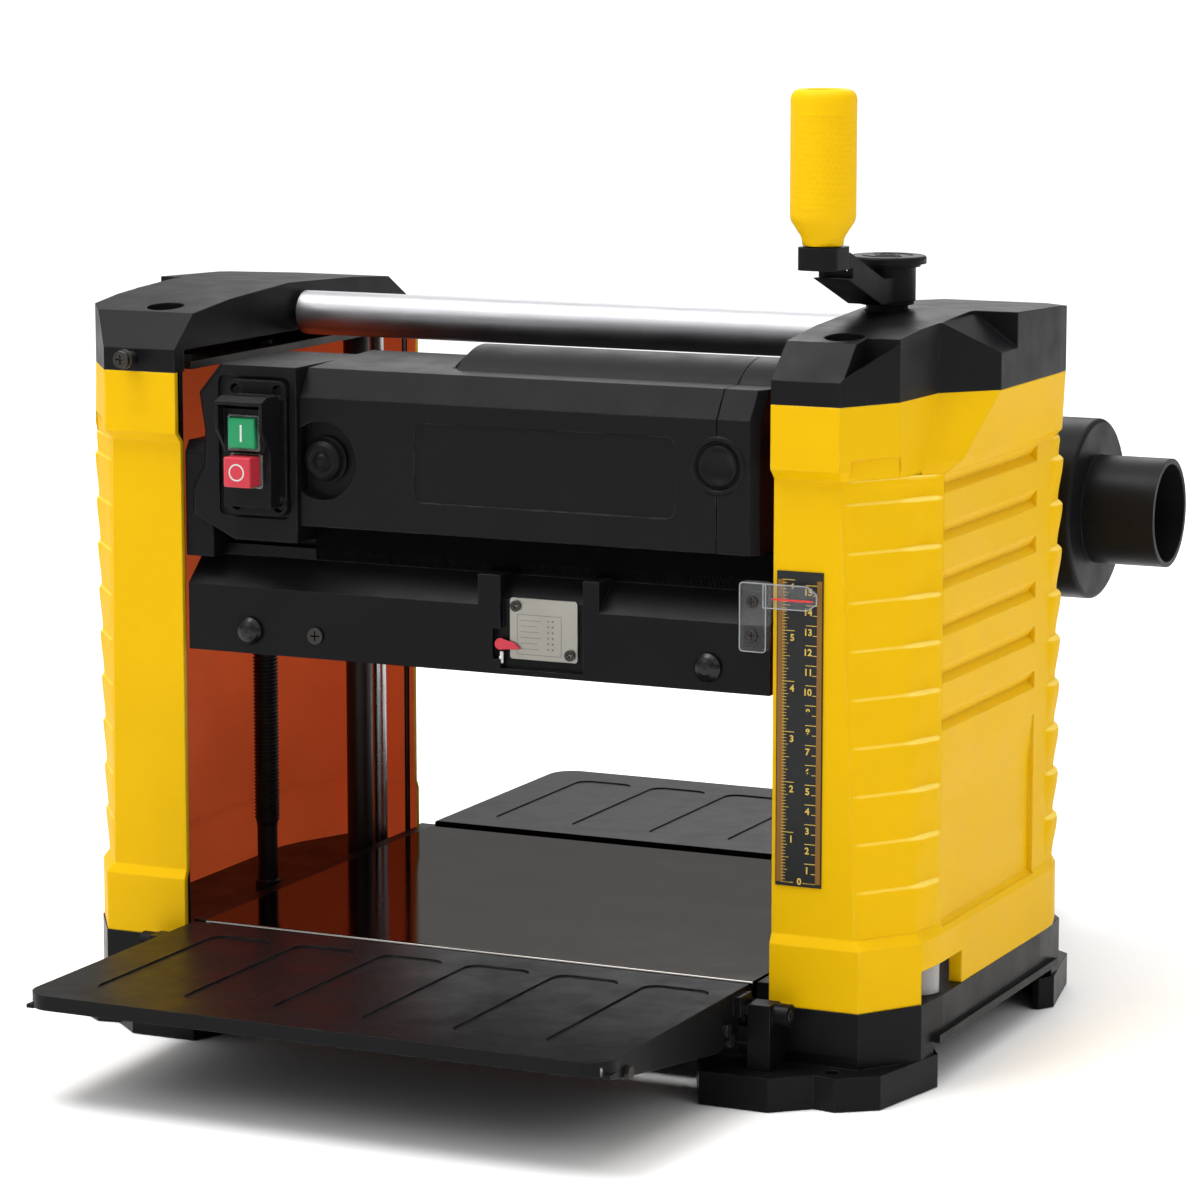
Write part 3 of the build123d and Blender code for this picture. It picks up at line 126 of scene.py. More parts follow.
def surface(name, color, rough, metal=0.0, mottle=0.10, grain=900.0, bump=0.12, wear=None, wear_share=0.5,
            edge=0.8, stretch=None, specular=0.3, uneven=0.06, painted_inner_light=None, glow=0.0, painted_ledge_highlight=None):
    """Colour that varies, a fine grain, uneven gloss, soft edges and wear along them.

    Edge is the radius of the soft edges in millimetres. The inner colour is the painted shade and painted
    glow of a column shell's inner faces, and the ledge colour a painted highlight on faces that look up.
    """
    made = bpy.data.materials.new(name)
    made.use_nodes = True
    tree = made.node_tree
    shader = tree.nodes["Principled BSDF"]
    coords = add(tree, "TexCoord")
    place = coords.outputs["Object"]
    grainy = place
    if stretch:
        grainy = add(tree, "Mapping", {"Vector": place, "Scale": stretch}).outputs["Vector"]
    patches = noise(tree, place, 16.0, 4.0)
    fine = noise(tree, grainy, grain, 2.0)
    mottled = ramp(tree, patches, 0.3, 0.7)
    tint = blend_color(tree, mottled, shaded(color, 1 - mottle), shaded(color, 1 + mottle))
    if painted_inner_light:
        # painted shade and a painted glow: the shell's inner faces take an orange colour in place of their
        # shade, and glow a little though they are no lamp
        mask = facing_in(tree, coords)
        tint = blend_color(tree, mask, tint, painted_inner_light)
        shader.inputs["Emission Color"].default_value = painted_inner_light
        lit = times(tree, mask, ramp(tree, patches, 0.25, 0.75, 0.75, 1.1))
        tree.links.new(times(tree, lit, glow), shader.inputs["Emission Strength"])
    if painted_ledge_highlight:
        # painted highlight: faces that look up are lightened towards the ledge colour
        facing = add(tree, "SeparateXYZ", {"Vector": coords.outputs["Normal"]}).outputs["Z"]
        tint = blend_color(tree, ramp(tree, facing, 0.15, 0.7, 0.0, 0.8), tint, painted_ledge_highlight)
    bevel = add(tree, "Bevel", {"Radius": edge * MM}, samples=4).outputs["Normal"]
    if wear:
        facet = add(tree, "NewGeometry").outputs["Normal"]
        turn = add(tree, "VectorMath", {0: bevel, 1: facet}, operation="DOT_PRODUCT").outputs["Value"]
        scuffs = ramp(tree, noise(tree, place, 90.0, 4.0), 0.42, 0.62)
        chipped = times(tree, ramp(tree, turn, 0.985, 0.86), scuffs)
        tint = blend_color(tree, times(tree, chipped, wear_share), tint, wear)
    tree.links.new(tint, shader.inputs["Base Color"])
    gloss = ramp(tree, noise(tree, place, 45.0, 3.0), 0.3, 0.7, rough - uneven, rough + uneven)
    tree.links.new(gloss, shader.inputs["Roughness"])
    relief = add(tree, "Bump", {"Height": fine, "Strength": bump, "Distance": 0.25 * MM, "Normal": bevel})
    tree.links.new(relief.outputs["Normal"], shader.inputs["Normal"])
    shader.inputs["Metallic"].default_value = metal
    shader.inputs["Specular IOR Level"].default_value = specular
    return made


def facing_in(tree, coords):
    """1 on the column shells' inner faces, which get painted shade and glow: side walls that face the bed,
    and end walls that face in.
    """
    wall_starts = 172 * MM
    ends_start = 120 * MM

    def compare(value, limit, operation):
        return add(tree, "Math", {0: value, 1: limit}, operation=operation).outputs["Value"]

    at = add(tree, "SeparateXYZ", {"Vector": coords.outputs["Object"]})
    facing = add(tree, "SeparateXYZ", {"Vector": coords.outputs["Normal"]})
    side = add(tree, "Math", {0: at.outputs["X"]}, operation="SIGN").outputs["Value"]
    outward = times(tree, side, facing.outputs["X"])
    past_edge = compare(times(tree, side, at.outputs["X"]), wall_starts, "GREATER_THAN")
    endward = times(tree, at.outputs["Y"], facing.outputs["Y"])
    far = add(tree, "Math", {0: at.outputs["Y"]}, operation="ABSOLUTE").outputs["Value"]
    # endward is a distance along y, less where the face is turned away from the end
    walls = times(tree, compare(outward, -0.25, "LESS_THAN"), compare(endward, 15 * MM, "LESS_THAN"))
    ends = times(tree, compare(far, ends_start, "GREATER_THAN"), compare(endward, -60 * MM, "LESS_THAN"))
    either = add(tree, "Math", {0: times(tree, walls, past_edge), 1: ends}, operation="MAXIMUM")
    return either.outputs["Value"]


# ---- materials ---------------------------------------------------------------------------------

# the yellow shell's inner faces carry painted shade in orange and a painted glow
yellow = surface("yellow_shell", rgb(226, 178, 0), 0.52, mottle=0.025, grain=1500, bump=0.10,
                 wear=rgb(250, 220, 92), wear_share=0.5, edge=1.4, specular=0.08,
                 painted_inner_light=rgb(214, 90, 46), glow=0.30)
# painted highlight on the ribs' ledges that look up
ribbed = surface("yellow_ribbed", rgb(226, 178, 0), 0.58, mottle=0.025, grain=1500, bump=0.10, edge=0.4,
                 specular=0.08, painted_ledge_highlight=rgb(255, 228, 110))
grip_yellow = surface("grip_yellow", rgb(232, 184, 0), 0.52, mottle=0.02, grain=2200, bump=0.20, edge=0.6,
                      specular=0.10)
black_plastic = surface("black_plastic", rgb(19, 19, 21), 0.42, grain=1300, bump=0.30,
                        wear=rgb(78, 78, 82), wear_share=0.45, edge=1.0, specular=0.10)
black_metal = surface("black_metal", rgb(15, 15, 17), 0.36, grain=800, bump=0.30,
                      wear=rgb(84, 82, 80), wear_share=0.45, edge=0.7, specular=0.10)
shadow_black = surface("shadow_black", rgb(7, 7, 8), 0.7, grain=800, bump=0.2, edge=0.5, specular=0.02)
bed_steel = surface("bed_steel", rgb(110, 107, 104), 0.07, metal=1.0, mottle=0.05, grain=500, bump=0.015,
                    stretch=(1, 24, 24), edge=0.3, uneven=0.02)
bed_steel.node_tree.nodes["Principled BSDF"].inputs["Specular Tint"].default_value = rgb(225, 222, 220)
bright_steel = surface("bright_steel", rgb(176, 176, 178), 0.26, metal=1.0, mottle=0.02, grain=240,
                       bump=0.008, edge=0.4)
dark_steel = surface("dark_steel", rgb(58, 56, 54), 0.42, metal=0.9, grain=700, bump=0.25,
                     wear=rgb(150, 146, 140), edge=0.5)
screw_steel = surface("screw_steel", rgb(26, 25, 25), 0.44, metal=0.6, grain=700, bump=0.25,
                      wear=rgb(92, 88, 84), edge=0.3)
roller_metal = surface("roller_metal", rgb(176, 176, 179), 0.42, metal=1.0, mottle=0.05, grain=160, bump=0.14,
                       stretch=(30, 1, 1), edge=0.5)
alloy = surface("alloy", rgb(160, 160, 162), 0.42, metal=1.0, grain=600, bump=0.3, edge=0.6)
bronze = surface("bronze", rgb(186, 136, 72), 0.34, metal=1.0, grain=600, bump=0.15, edge=0.4)
rubber = surface("rubber_black", rgb(14, 14, 15), 0.30, grain=1200, bump=0.10, edge=0.5, specular=0.3)
green = surface("green_plastic", rgb(26, 140, 88), 0.36, mottle=0.04, grain=1200, bump=0.08,
                wear=rgb(110, 200, 160), edge=0.7)
red = surface("red_plastic", rgb(196, 52, 66), 0.36, mottle=0.04, grain=1200, bump=0.08,
              wear=rgb(232, 120, 130), edge=0.7)
scale_black = surface("scale_print", rgb(18, 20, 20), 0.40, grain=900, bump=0.06, edge=0.2)
gold_print = surface("gold_print", rgb(206, 176, 78), 0.45, grain=2500, bump=0.05, edge=0.05)
band_print = surface("band_print", rgb(128, 88, 30), 0.45, grain=2500, bump=0.05, edge=0.05)
white_print = surface("white_print", rgb(206, 210, 206), 0.45, grain=2500, bump=0.05, edge=0.05)
red_print = surface("red_print", rgb(214, 52, 50), 0.40, grain=2500, bump=0.05, edge=0.05)
grey_print = surface("grey_print", rgb(92, 90, 84), 0.45, grain=2500, bump=0.05, edge=0.05)
copper = surface("copper", rgb(184, 104, 60), 0.35, metal=1.0, grain=500, bump=0.2, edge=0.4)
gauge_metal = surface("gauge_metal", rgb(150, 148, 140), 0.36, metal=0.85, mottle=0.05, grain=400, bump=0.10,
                      stretch=(10, 1, 1), edge=0.3)


def clear_plastic(name, color, solid):
    """Thin clear plastic: mostly see-through, with a gloss and a faint body colour."""
    made = surface(name, color, 0.14, mottle=0.04, grain=700, bump=0.04, edge=0.4)
    made.node_tree.nodes["Principled BSDF"].inputs["Alpha"].default_value = solid
    return made


clear = clear_plastic("clear_plastic", rgb(150, 152, 154), 0.14)
turret_plastic = clear_plastic("turret_plastic", rgb(176, 178, 178), 0.72)
clear_edge = clear_plastic("clear_edge", rgb(176, 178, 180), 0.62)
seal_plastic = clear_plastic("seal_plastic", rgb(128, 134, 130), 0.55)
slot_materials = {m.name: m for m in (
    yellow, black_plastic, black_metal, bed_steel, bright_steel, dark_steel, roller_metal, alloy, bronze,
    rubber, green, red, scale_black, copper, gauge_metal, clear)}


def paint(made, chosen):
    """Gives a piece its one material."""
    made.data.materials.clear()
    made.data.materials.append(chosen)
    return made


def paint_node(name, chosen):
    """Gives a frame node its material through its object's slot."""
    node = nodes[name]
    if not node.material_slots:
        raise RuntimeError(f"{name} came without a material slot")
    for slot in node.material_slots:
        slot.link = "OBJECT"
        slot.material = chosen


for subpart in frame["record"]["subparts"]:
    paint_node(subpart["node"], slot_materials[subpart["material_slot"]])
paint_node("depth_stop_turret", turret_plastic)


# ---- mesh helpers: every length here is in millimetres -----------------------------------------

def piece(name, shape, chosen, body, rounded=0.0):
    """Turns a finished bmesh into a painted object that rides on a body."""
    bmesh.ops.recalc_face_normals(shape, faces=shape.faces)
    mesh = bpy.data.meshes.new(name)
    shape.to_mesh(mesh)
    shape.free()
    made = bpy.data.objects.new(name, mesh)
    bpy.context.scene.collection.objects.link(made)
    if rounded:
        bevel = made.modifiers.new("rounded", "BEVEL")
        bevel.width = rounded * MM
        bevel.segments = 3
        bevel.limit_method = "ANGLE"
    paint(made, chosen)
    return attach(made, body)


def smooth(made):
    """Shades a piece as one round surface."""
    for face in made.data.polygons:
        face.use_smooth = True
    return made


def corners(name):
    """Lowest and highest corner of a frame node, in millimetres."""
    low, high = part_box(name)
    return low / MM, high / MM


def slab(shape, low, high):
    """A box between two corners."""
    for vert in bmesh.ops.create_cube(shape, size=1)["verts"]:
        vert.co = Vector([(a + b) / 2 + (b - a) * c for a, b, c in zip(low, high, vert.co)]) * MM


def prism(shape, outline, start, end):
    """A solid with an upright (y, z) outline, from one x to another."""
    ends = [[shape.verts.new((x * MM, y * MM, z * MM)) for y, z in outline] for x in (start, end)]
    shape.faces.new(ends[0])
    shape.faces.new(ends[1][::-1])
    for k in range(len(outline)):
        shape.faces.new((ends[0][k - 1], ends[0][k], ends[1][k], ends[1][k - 1]))


def plate(shape, loops, front, back):
    """A flat plate facing -Y: the first (x, z) loop is its outline and the others are holes."""
    edges = []
    for loop in loops:
        verts = [shape.verts.new((x * MM, front * MM, z * MM)) for x, z in loop]
        edges += [shape.edges.new((a, b)) for a, b in zip(verts, verts[1:] + verts[:1])]
    filled = bmesh.ops.triangle_fill(shape, edges=edges, use_beauty=True)
    faces = [f for f in filled["geom"] if isinstance(f, bmesh.types.BMFace)]
    pushed = bmesh.ops.extrude_face_region(shape, geom=faces)
    for vert in pushed["geom"]:
        if isinstance(vert, bmesh.types.BMVert):
            vert.co.y = back * MM


def circle(x, z, r, steps=32):
    """Outline of a circle in (x, z)."""
    return [(x + r * cos(2 * pi * k / steps), z + r * sin(2 * pi * k / steps)) for k in range(steps)]


def rounded_box(x, z, wide, tall, r, steps=6):
    """Outline of a rectangle with round corners."""
    outline = []
    for quarter, (across, up) in enumerate(((1, 1), (-1, 1), (-1, -1), (1, -1))):
        for k in range(steps + 1):
            angle = pi / 2 * (quarter + k / steps)
            middle_x, middle_z = x + across * (wide / 2 - r), z + up * (tall / 2 - r)
            outline.append((middle_x + r * cos(angle), middle_z + r * sin(angle)))
    return outline


def lathe(shape, profile, centre, along, across, steps=64):
    """The surface that (radius, height) points sweep round an axis."""
    along, across, centre = Vector(along), Vector(across), Vector(centre)
    third = along.cross(across)
    rings = []
    for k in range(steps):
        out = across * cos(2 * pi * k / steps) + third * sin(2 * pi * k / steps)
        rings.append([shape.verts.new((centre + out * r + along * h) * MM) for r, h in profile])
    for k in range(steps):
        here, there = rings[k - 1], rings[k]
        for a in range(len(profile) - 1):
            shape.faces.new((here[a], here[a + 1], there[a + 1], there[a]))
    bmesh.ops.remove_doubles(shape, verts=shape.verts, dist=1e-7)


stroke_swell = 0.028
stroke_depth = 0.02


def numeral(shape, text, tall, x, z, front):
    """A raised figure whose middle is at (x, z) on a plate facing -Y."""
    curve = bpy.data.curves.new("numeral", "FONT")
    curve.body = text
    curve.offset = stroke_swell
    curve.extrude = stroke_depth
    holder = bpy.data.objects.new("numeral", curve)
    bpy.context.scene.collection.objects.link(holder)
    bpy.context.view_layer.update()
    mesh = bpy.data.meshes.new_from_object(holder.evaluated_get(bpy.context.evaluated_depsgraph_get()))
    spots = [v.co for v in mesh.vertices]
    low = Vector([min(s[k] for s in spots) for k in range(3)])
    high = Vector([max(s[k] for s in spots) for k in range(3)])
    middle = (low + high) / 2
    size = tall * MM / (high.y - low.y)
    place = Matrix.Translation((x * MM, front * MM, z * MM)) @ Matrix.Rotation(pi / 2, 4, "X")
    mesh.transform(place @ Matrix.Scale(size, 4) @ Matrix.Translation(-middle))
    shape.from_mesh(mesh)
    bpy.data.objects.remove(holder)
    bpy.data.meshes.remove(mesh)
    bpy.data.curves.remove(curve)


# ---- the height scale and its pointer ----------------------------------------------------------

zero_mark = 108.9
print_thick = 0.12
figure_tall = 3.5
margin_left = 4.2
margin_right = 2.6
inch = 25.4
inch_parts = 16
scale_length_cm = 15
line_thin, line_thick, line_zero = 0.26, 0.34, 0.5


def make_scale_print():
    """Brown margins, gold ticks and figures: inches on the left, centimetres on the right."""
    low, high = corners("scale_plate")
    front = low.y
    left, right = low.x, high.x
    top = high.z - 4.2
    shape = bmesh.new()
    slab(shape, (left + 0.5, front - print_thick / 2, zero_mark), (left + margin_left, front, top))
    slab(shape, (right - margin_right - 0.5, front - print_thick / 2, zero_mark), (right - 0.5, front, top))
    piece("scale_margins", shape, band_print, "root")

    shape = bmesh.new()

    def tick(x, z, long, thick=line_thick):
        slab(shape, (x, front - print_thick, z - thick / 2), (x + long, front + 0.1, z + thick / 2))

    count = 0
    while zero_mark + count * inch / inch_parts < top:
        whole = count % inch_parts == 0
        half, quarter = count % (inch_parts // 2) == 0, count % (inch_parts // 4) == 0
        long = 6.6 if whole else 4.0 if half else 3.3 if quarter else 2.4
        height = zero_mark + count * inch / inch_parts
        tick(left + margin_left - 1.2, height, long, line_thick if whole else line_thin)
        count += 1
    for half in range(2 * scale_length_cm + 1):
        whole = half % 2 == 0
        long = 5.8 if whole else 2.2
        tick(right - margin_right - 0.6 - long, zero_mark + half * 5.0, long)
    tick(left + margin_left - 1, zero_mark, 5.0, line_zero)
    tick(right - margin_right - 7, zero_mark, 5.5, line_zero)
    for number in range(1, 7):
        numeral(shape, str(number), figure_tall, left + 8.3, zero_mark + number * inch - 3.4, front)
    for number in range(1, scale_length_cm + 1):
        numeral(shape, str(number), figure_tall, right - 7.6, zero_mark + number * 10 - 3.3, front)
    numeral(shape, "0", figure_tall, (left + right) / 2 + 0.6, zero_mark + 0.8, front)
    piece("scale_figures", shape, gold_print, "root")


tongue_low, tongue_high = 246.5, 259.0
tongue_long = 29
pointer_line_z = 251.4
foot_wide, foot_tall, foot_z = 14.5, 35, 241.6
rim = 0.55


def make_pointer_line():
    """The pointer's red hairline, and the bright moulded rims of its clear plastic."""
    low, high = corners("scale_pointer")
    shape = bmesh.new()
    slab(shape, (high.x - 24, low.y - 0.06, pointer_line_z - 0.5),
         (high.x - 2.2, low.y + 0.1, pointer_line_z + 0.5))
    piece("pointer_line", shape, red_print, "carriage")
    shape = bmesh.new()
    root_x, neck_x = high.x - tongue_long, high.x - 5.3
    outer = [(root_x, tongue_low), (neck_x, tongue_low), (high.x, 250), (high.x, 255), (neck_x, tongue_high),
             (root_x, tongue_high)]
    inner = [(root_x + rim, tongue_low + rim), (high.x - 5.5, tongue_low + rim), (high.x - rim, 250.3),
             (high.x - rim, 254.7), (high.x - 5.5, tongue_high - rim), (root_x + rim, tongue_high - rim)]
    plate(shape, [outer, inner], low.y - 0.15, low.y + 0.2)
    middle = low.x + foot_wide / 2
    foot = rounded_box(middle, foot_z, foot_wide, foot_tall, 2)
    opening = rounded_box(middle, foot_z, foot_wide - 2 * rim, foot_tall - 2 * rim, 1.5)
    plate(shape, [foot, opening], low.y - 0.12, low.y + 0.2)
    piece("pointer_rims", shape, clear_edge, "carriage")


# ---- switch ------------------------------------------------------------------------------------

switch_x = -120.6
switch_wide = 27.5
hood_top = 339.3
hood_brow = 336.9
hood_front = -156.0
step_front = -149.6
panel_front = -147.0
panel_low = 281.2
flange_front = -137.0
boss_out = 12.3
boss_r = 5.0
boss_heights = (341.4, 281.0)


def make_switch():
    """Flange with its screw bosses, the hooded box, and the screws in the bosses."""
    shape = bmesh.new()
    seat = corners("switch_housing")[0].y + 2
    left, right = switch_x - boss_out, switch_x + boss_out
    for z in boss_heights:
        outline = rounded_box(switch_x, z, 2 * (boss_out + boss_r), 2 * boss_r, boss_r - 0.01, 10)
        plate(shape, [outline, circle(left, z, 2.9), circle(right, z, 2.9)], flange_front, seat)
    plate(shape, [rounded_box(switch_x, 311, 33, 62, 3)], flange_front + 1.6, seat)
    profile = [(flange_front + 1, hood_top - 0.5), (-149.8, hood_top), (hood_front, hood_brow),
               (hood_front, 322.6), (panel_front, 310.4), (panel_front, panel_low),
               (flange_front + 1, panel_low)]
    wall, half = 1.7, switch_wide / 2
    prism(shape, profile, switch_x - half, switch_x - half + wall)
    prism(shape, profile, switch_x + half - wall, switch_x + half)
    lid = [(flange_front + 1, hood_top - 0.5), (-149.8, hood_top), (hood_front, hood_brow),
           (hood_front, hood_brow - 1.7), (-149.8, hood_top - 1.9), (flange_front + 1, hood_brow)]
    panel = [(flange_front + 1, 337), (panel_front, 337), (panel_front, panel_low + 0.2),
             (flange_front + 1, panel_low + 0.2)]
    green_step = [(panel_front, 333.5), (step_front, 332.8), (step_front, 310.6), (panel_front, 309)]
    for between in (lid, panel, green_step):
        prism(shape, between, switch_x - half + wall, switch_x + half - wall)
    box = piece("switch_hood", shape, black_plastic, "carriage", rounded=0.35)
    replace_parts(box, "switch_box")
    shape = bmesh.new()
    for z in boss_heights:
        for x in (left, right):
            head = [(0, 3.6), (1.9, 3.4), (2.6, 2.8), (2.8, 0)]
            lathe(shape, head, (x, seat, z), (0, -1, 0), (1, 0, 0), 24)
    piece("switch_screws", shape, screw_steel, "carriage")


def make_button(name, chosen, z, front, rear, side, mark):
    """A square cap with soft edges, its printed mark, and the pale seal round its foot."""
    half = side / 2
    printed = front - 0.1, front + 0.3
    shape = bmesh.new()
    slab(shape, (switch_x - half, front, z - half), (switch_x + half, rear + 4, z + half))
    cap = piece(name + "_cap", shape, chosen, name, rounded=1.1)
    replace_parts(cap, name)
    shape = bmesh.new()
    if mark == "bar":
        slab(shape, (switch_x - 0.55, printed[0], z - 4.4), (switch_x + 0.55, printed[1], z + 4.4))
    else:
        plate(shape, [circle(switch_x, z, 4.5, 48), circle(switch_x, z, 3.75, 48)], *printed)
    piece(name + "_mark", shape, white_print, name)
    shape = bmesh.new()
    seal, opening = side + 2.8, side + 0.3
    plate(shape, [rounded_box(switch_x, z, seal, seal, 1.2), rounded_box(switch_x, z, opening, opening, 1)],
          rear - 0.9, rear + 1)
    piece(name + "_seal", shape, seal_plastic, "carriage", rounded=0.3)


# ---- rings and caps on the motor cover ---------------------------------------------------------

recess_x, recess_z = -86.0, 305.5
recess_floor = 7.5


def make_bearing_rings():
    """Stepped hub and rings on the floor of the round recess over the left motor bearing."""
    shape = bmesh.new()
    floor = corners("motor_cover")[0].y + recess_floor
    profile = [(0, 9.4), (2.2, 9.3), (3.2, 8.9), (3.7, 7.9), (4.4, 7.6), (5.2, 7.6), (5.8, 8.4), (7.4, 8.5),
               (8.4, 8.1), (9.0, 7.2), (9.9, 7.0), (10.3, 5.6), (10.8, 2.8), (12.2, 2.4)]
    lathe(shape, profile, (recess_x, floor, recess_z), (0, -1, 0), (1, 0, 0))
    smooth(piece("bearing_hub", shape, black_plastic, "carriage"))


def make_brush_cap():
    """Screw-in cap over the motor brush: a rim, a groove and a dished middle."""
    shape = bmesh.new()
    low, high = corners("brush_cap")
    middle = (low + high) / 2
    front = corners("motor_cover")[0].y
    profile = [(0, -1.3), (5.0, -1.2), (7.8, -0.5), (9.0, 0.5), (9.8, 0.6), (10.4, 0.0), (10.8, -1.4),
               (11.8, -1.4), (12.3, 0.3), (13.0, 0.8), (14.4, 0.7), (14.9, 0.0)]
    lathe(shape, profile, (middle.x, front, middle.z), (0, -1, 0), (1, 0, 0))
    cap = piece("brush_cap_round", shape, black_plastic, "carriage")
    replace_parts(smooth(cap), "brush_cap")


# ---- removal gauge -----------------------------------------------------------------------------

def make_gauge_print():
    """Fine rules, rows and dots on the gauge plate, with its post under the pointer."""
    low, high = corners("gauge_plate")
    front = low.y
    shape = bmesh.new()

    def rule(x, z, wide, tall):
        slab(shape, (x, front - 0.05, z), (x + wide, front + 0.1, z + tall))

    left, right, bottom, top = low.x + 4, high.x - 9.2, low.z + 2.5, high.z - 8.5
    line, rows = 0.22, 7
    for edge in (left, right):
        rule(edge, bottom, line, top - bottom)
    for edge in (bottom, top):
        rule(left, edge, right - left, line)
    for row in range(1, rows):
        height = bottom + (top - bottom) * row / rows
        rule(left + 2, height, 11.5 - (row % 3), 0.2)
        rule(right - 7.6, height, 0.7, 0.9)
        rule(right - 5.2, height, 0.9, 0.9)
    piece("gauge_rules", shape, grey_print, "carriage")
    shape = bmesh.new()
    low, high = corners("gauge_pointer")
    lathe(shape, [(0, 1.6), (0.9, 1.4), (1.1, 0)], ((low.x + high.x) / 2 - 3.8, low.y + 1.4, low.z - 3.6),
          (0, -1, 0), (1, 0, 0), 20)
    slab(shape, (low.x + 2.9, low.y + 0.2, low.z - 6.4), (low.x + 4.6, low.y + 1.4, low.z - 0.4))
    piece("gauge_post", shape, white_print, "carriage", rounded=0.3)
    # a drop-shaped head pointing at the rows
    shape = bmesh.new()
    middle = (low.z + high.z) / 2
    tip = high.x - 0.2
    drop = [(low.x + 3.2 + 3.2 * cos(a), middle + 0.4 + 3.0 * sin(a))
            for a in (radians(60 + 240 * k / 16) for k in range(17))]
    plate(shape, [drop + [(tip, middle - 1.6), (tip - 3, middle + 1.2)]], low.y, low.y + 1.2)
    head = piece("gauge_drop", shape, red, "gauge_pointer", rounded=0.3)
    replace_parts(head, "gauge_pointer")


# ---- crank grip and lead screws ----------------------------------------------------------------

grip_r = 16.45
dimple_pitch = 2.7
dimple_deep = 0.35
dimple_share = 0.40
panel_r = grip_r + 0.25
panel_turn = radians(-60)
panel_half = radians(66)
panel_foot, panel_top = 441.0, 489.0
panel_corner = 6.0


def in_panel(angle, z):
    """1 inside a grip panel, falling to 0 across its border, or below 0 outside."""
    swing = min(abs((angle - centre + pi) % (2 * pi) - pi) for centre in (panel_turn, panel_turn + pi))
    across = (panel_half - swing) * panel_r
    up = min(z - panel_foot, panel_top - z)
    if across < panel_corner and up < panel_corner:
        return panel_corner - ((panel_corner - across) ** 2 + (panel_corner - up) ** 2) ** 0.5
    return min(across, up)


def grip_radius(angle, z):
    """Radius with the panel raised a little and its staggered rows of dimples."""
    inset = in_panel(angle, z)
    if inset <= 0:
        return grip_r
    raised = grip_r + (panel_r - grip_r) * min(1, inset / 0.8)
    if inset < 1.4:
        return raised
    up = (z - panel_foot) / dimple_pitch
    row = round(up)
    around = panel_r * angle / dimple_pitch + (row % 2) / 2
    offset = ((around - round(around)) ** 2 + (up - row) ** 2) ** 0.5
    return raised - dimple_deep * max(0.0, 1 - (offset / dimple_share) ** 2)


def make_grip():
    """The knob's soft cover, dimpled where the hand turns it, with a dished end."""
    low, high = corners("crank_grip")
    x, y = (low.x + high.x) / 2, (low.y + high.y) / 2
    steps = 200
    profile = [(9.6, 423.0), (10.2, 423.4), (10.6, 426.6), (11.4, 428.2), (15.6, 434.6), (16.2, 436.2)]
    profile += [(grip_r, 438)] + [(grip_r, 439.6 + 0.54 * k) for k in range(95)] + [(grip_r, 491.6)]
    profile += [(16.5, 495), (15.9, 497.4), (14.6, 499.1), (12.6, 500.0), (10.4, 499.9), (9.7, 499.3)]
    profile += [(9.3, 497.6), (0, 497.2)]
    shape = bmesh.new()
    rings = []
    for r, z in profile:
        ring = []
        for k in range(steps):
            angle = 2 * pi * k / steps
            far = grip_radius(angle, z) if r == grip_r else r
            ring.append(shape.verts.new(((x + far * cos(angle)) * MM, (y + far * sin(angle)) * MM, z * MM)))
        rings.append(ring)
    for below, above in zip(rings, rings[1:]):
        for k in range(steps):
            shape.faces.new((below[k - 1], below[k], above[k], above[k - 1]))
    bmesh.ops.remove_doubles(shape, verts=shape.verts, dist=1e-7)
    cover = piece("grip_cover", shape, grip_yellow, "grip")
    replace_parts(smooth(cover), "crank_grip")
    shape = bmesh.new()
    screw = [(0, 0.9), (2.2, 0.8), (2.6, 0.2), (5.4, 0.5), (6.2, 0.2), (6.6, -0.4)]
    lathe(shape, screw, (x, y, 497.6), (0, 0, 1), (1, 0, 0), 40)
    smooth(piece("grip_end_screw", shape, dark_steel, "grip"))


screw_pitch = 2.0
thread_low, thread_high = 86.0, 340.0


def make_thread(node, body):
    """A lead screw with its thread cut as one long helix between plain ends."""
    low, high = corners(node)
    x, y = (low.x + high.x) / 2, (low.y + high.y) / 2
    steps = 24
    turns = int((thread_high - thread_low) / screw_pitch)
    cut = [(6.1, 0.0), (6.95, 0.55), (6.95, 0.95), (6.1, 1.5)]
    shape = bmesh.new()
    previous = None
    for k in range(turns * steps + 1):
        angle = 2 * pi * k / steps
        height = thread_low + screw_pitch * k / steps
        row = [shape.verts.new(((x + r * cos(angle)) * MM, (y + r * sin(angle)) * MM, (height + up) * MM))
               for r, up in cut]
        if previous:
            for a in range(len(cut) - 1):
                shape.faces.new((previous[a], row[a], row[a + 1], previous[a + 1]))
        previous = row
    plain = [(0, low.z), (5, low.z), (5, 46), (6.8, 46), (6.8, 52), (5.6, 53), (5.6, thread_low - 3),
             (6.2, thread_low), (6.2, thread_high), (7, thread_high + 2), (7, thread_high + 6),
             (6, thread_high + 6), (6, high.z - 1), (5.2, high.z), (0, high.z)]
    lathe(shape, plain, (x, y, 0), (0, 0, 1), (1, 0, 0), 32)
    screw = piece(node + "_thread", shape, screw_steel, body)
    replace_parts(screw, node)


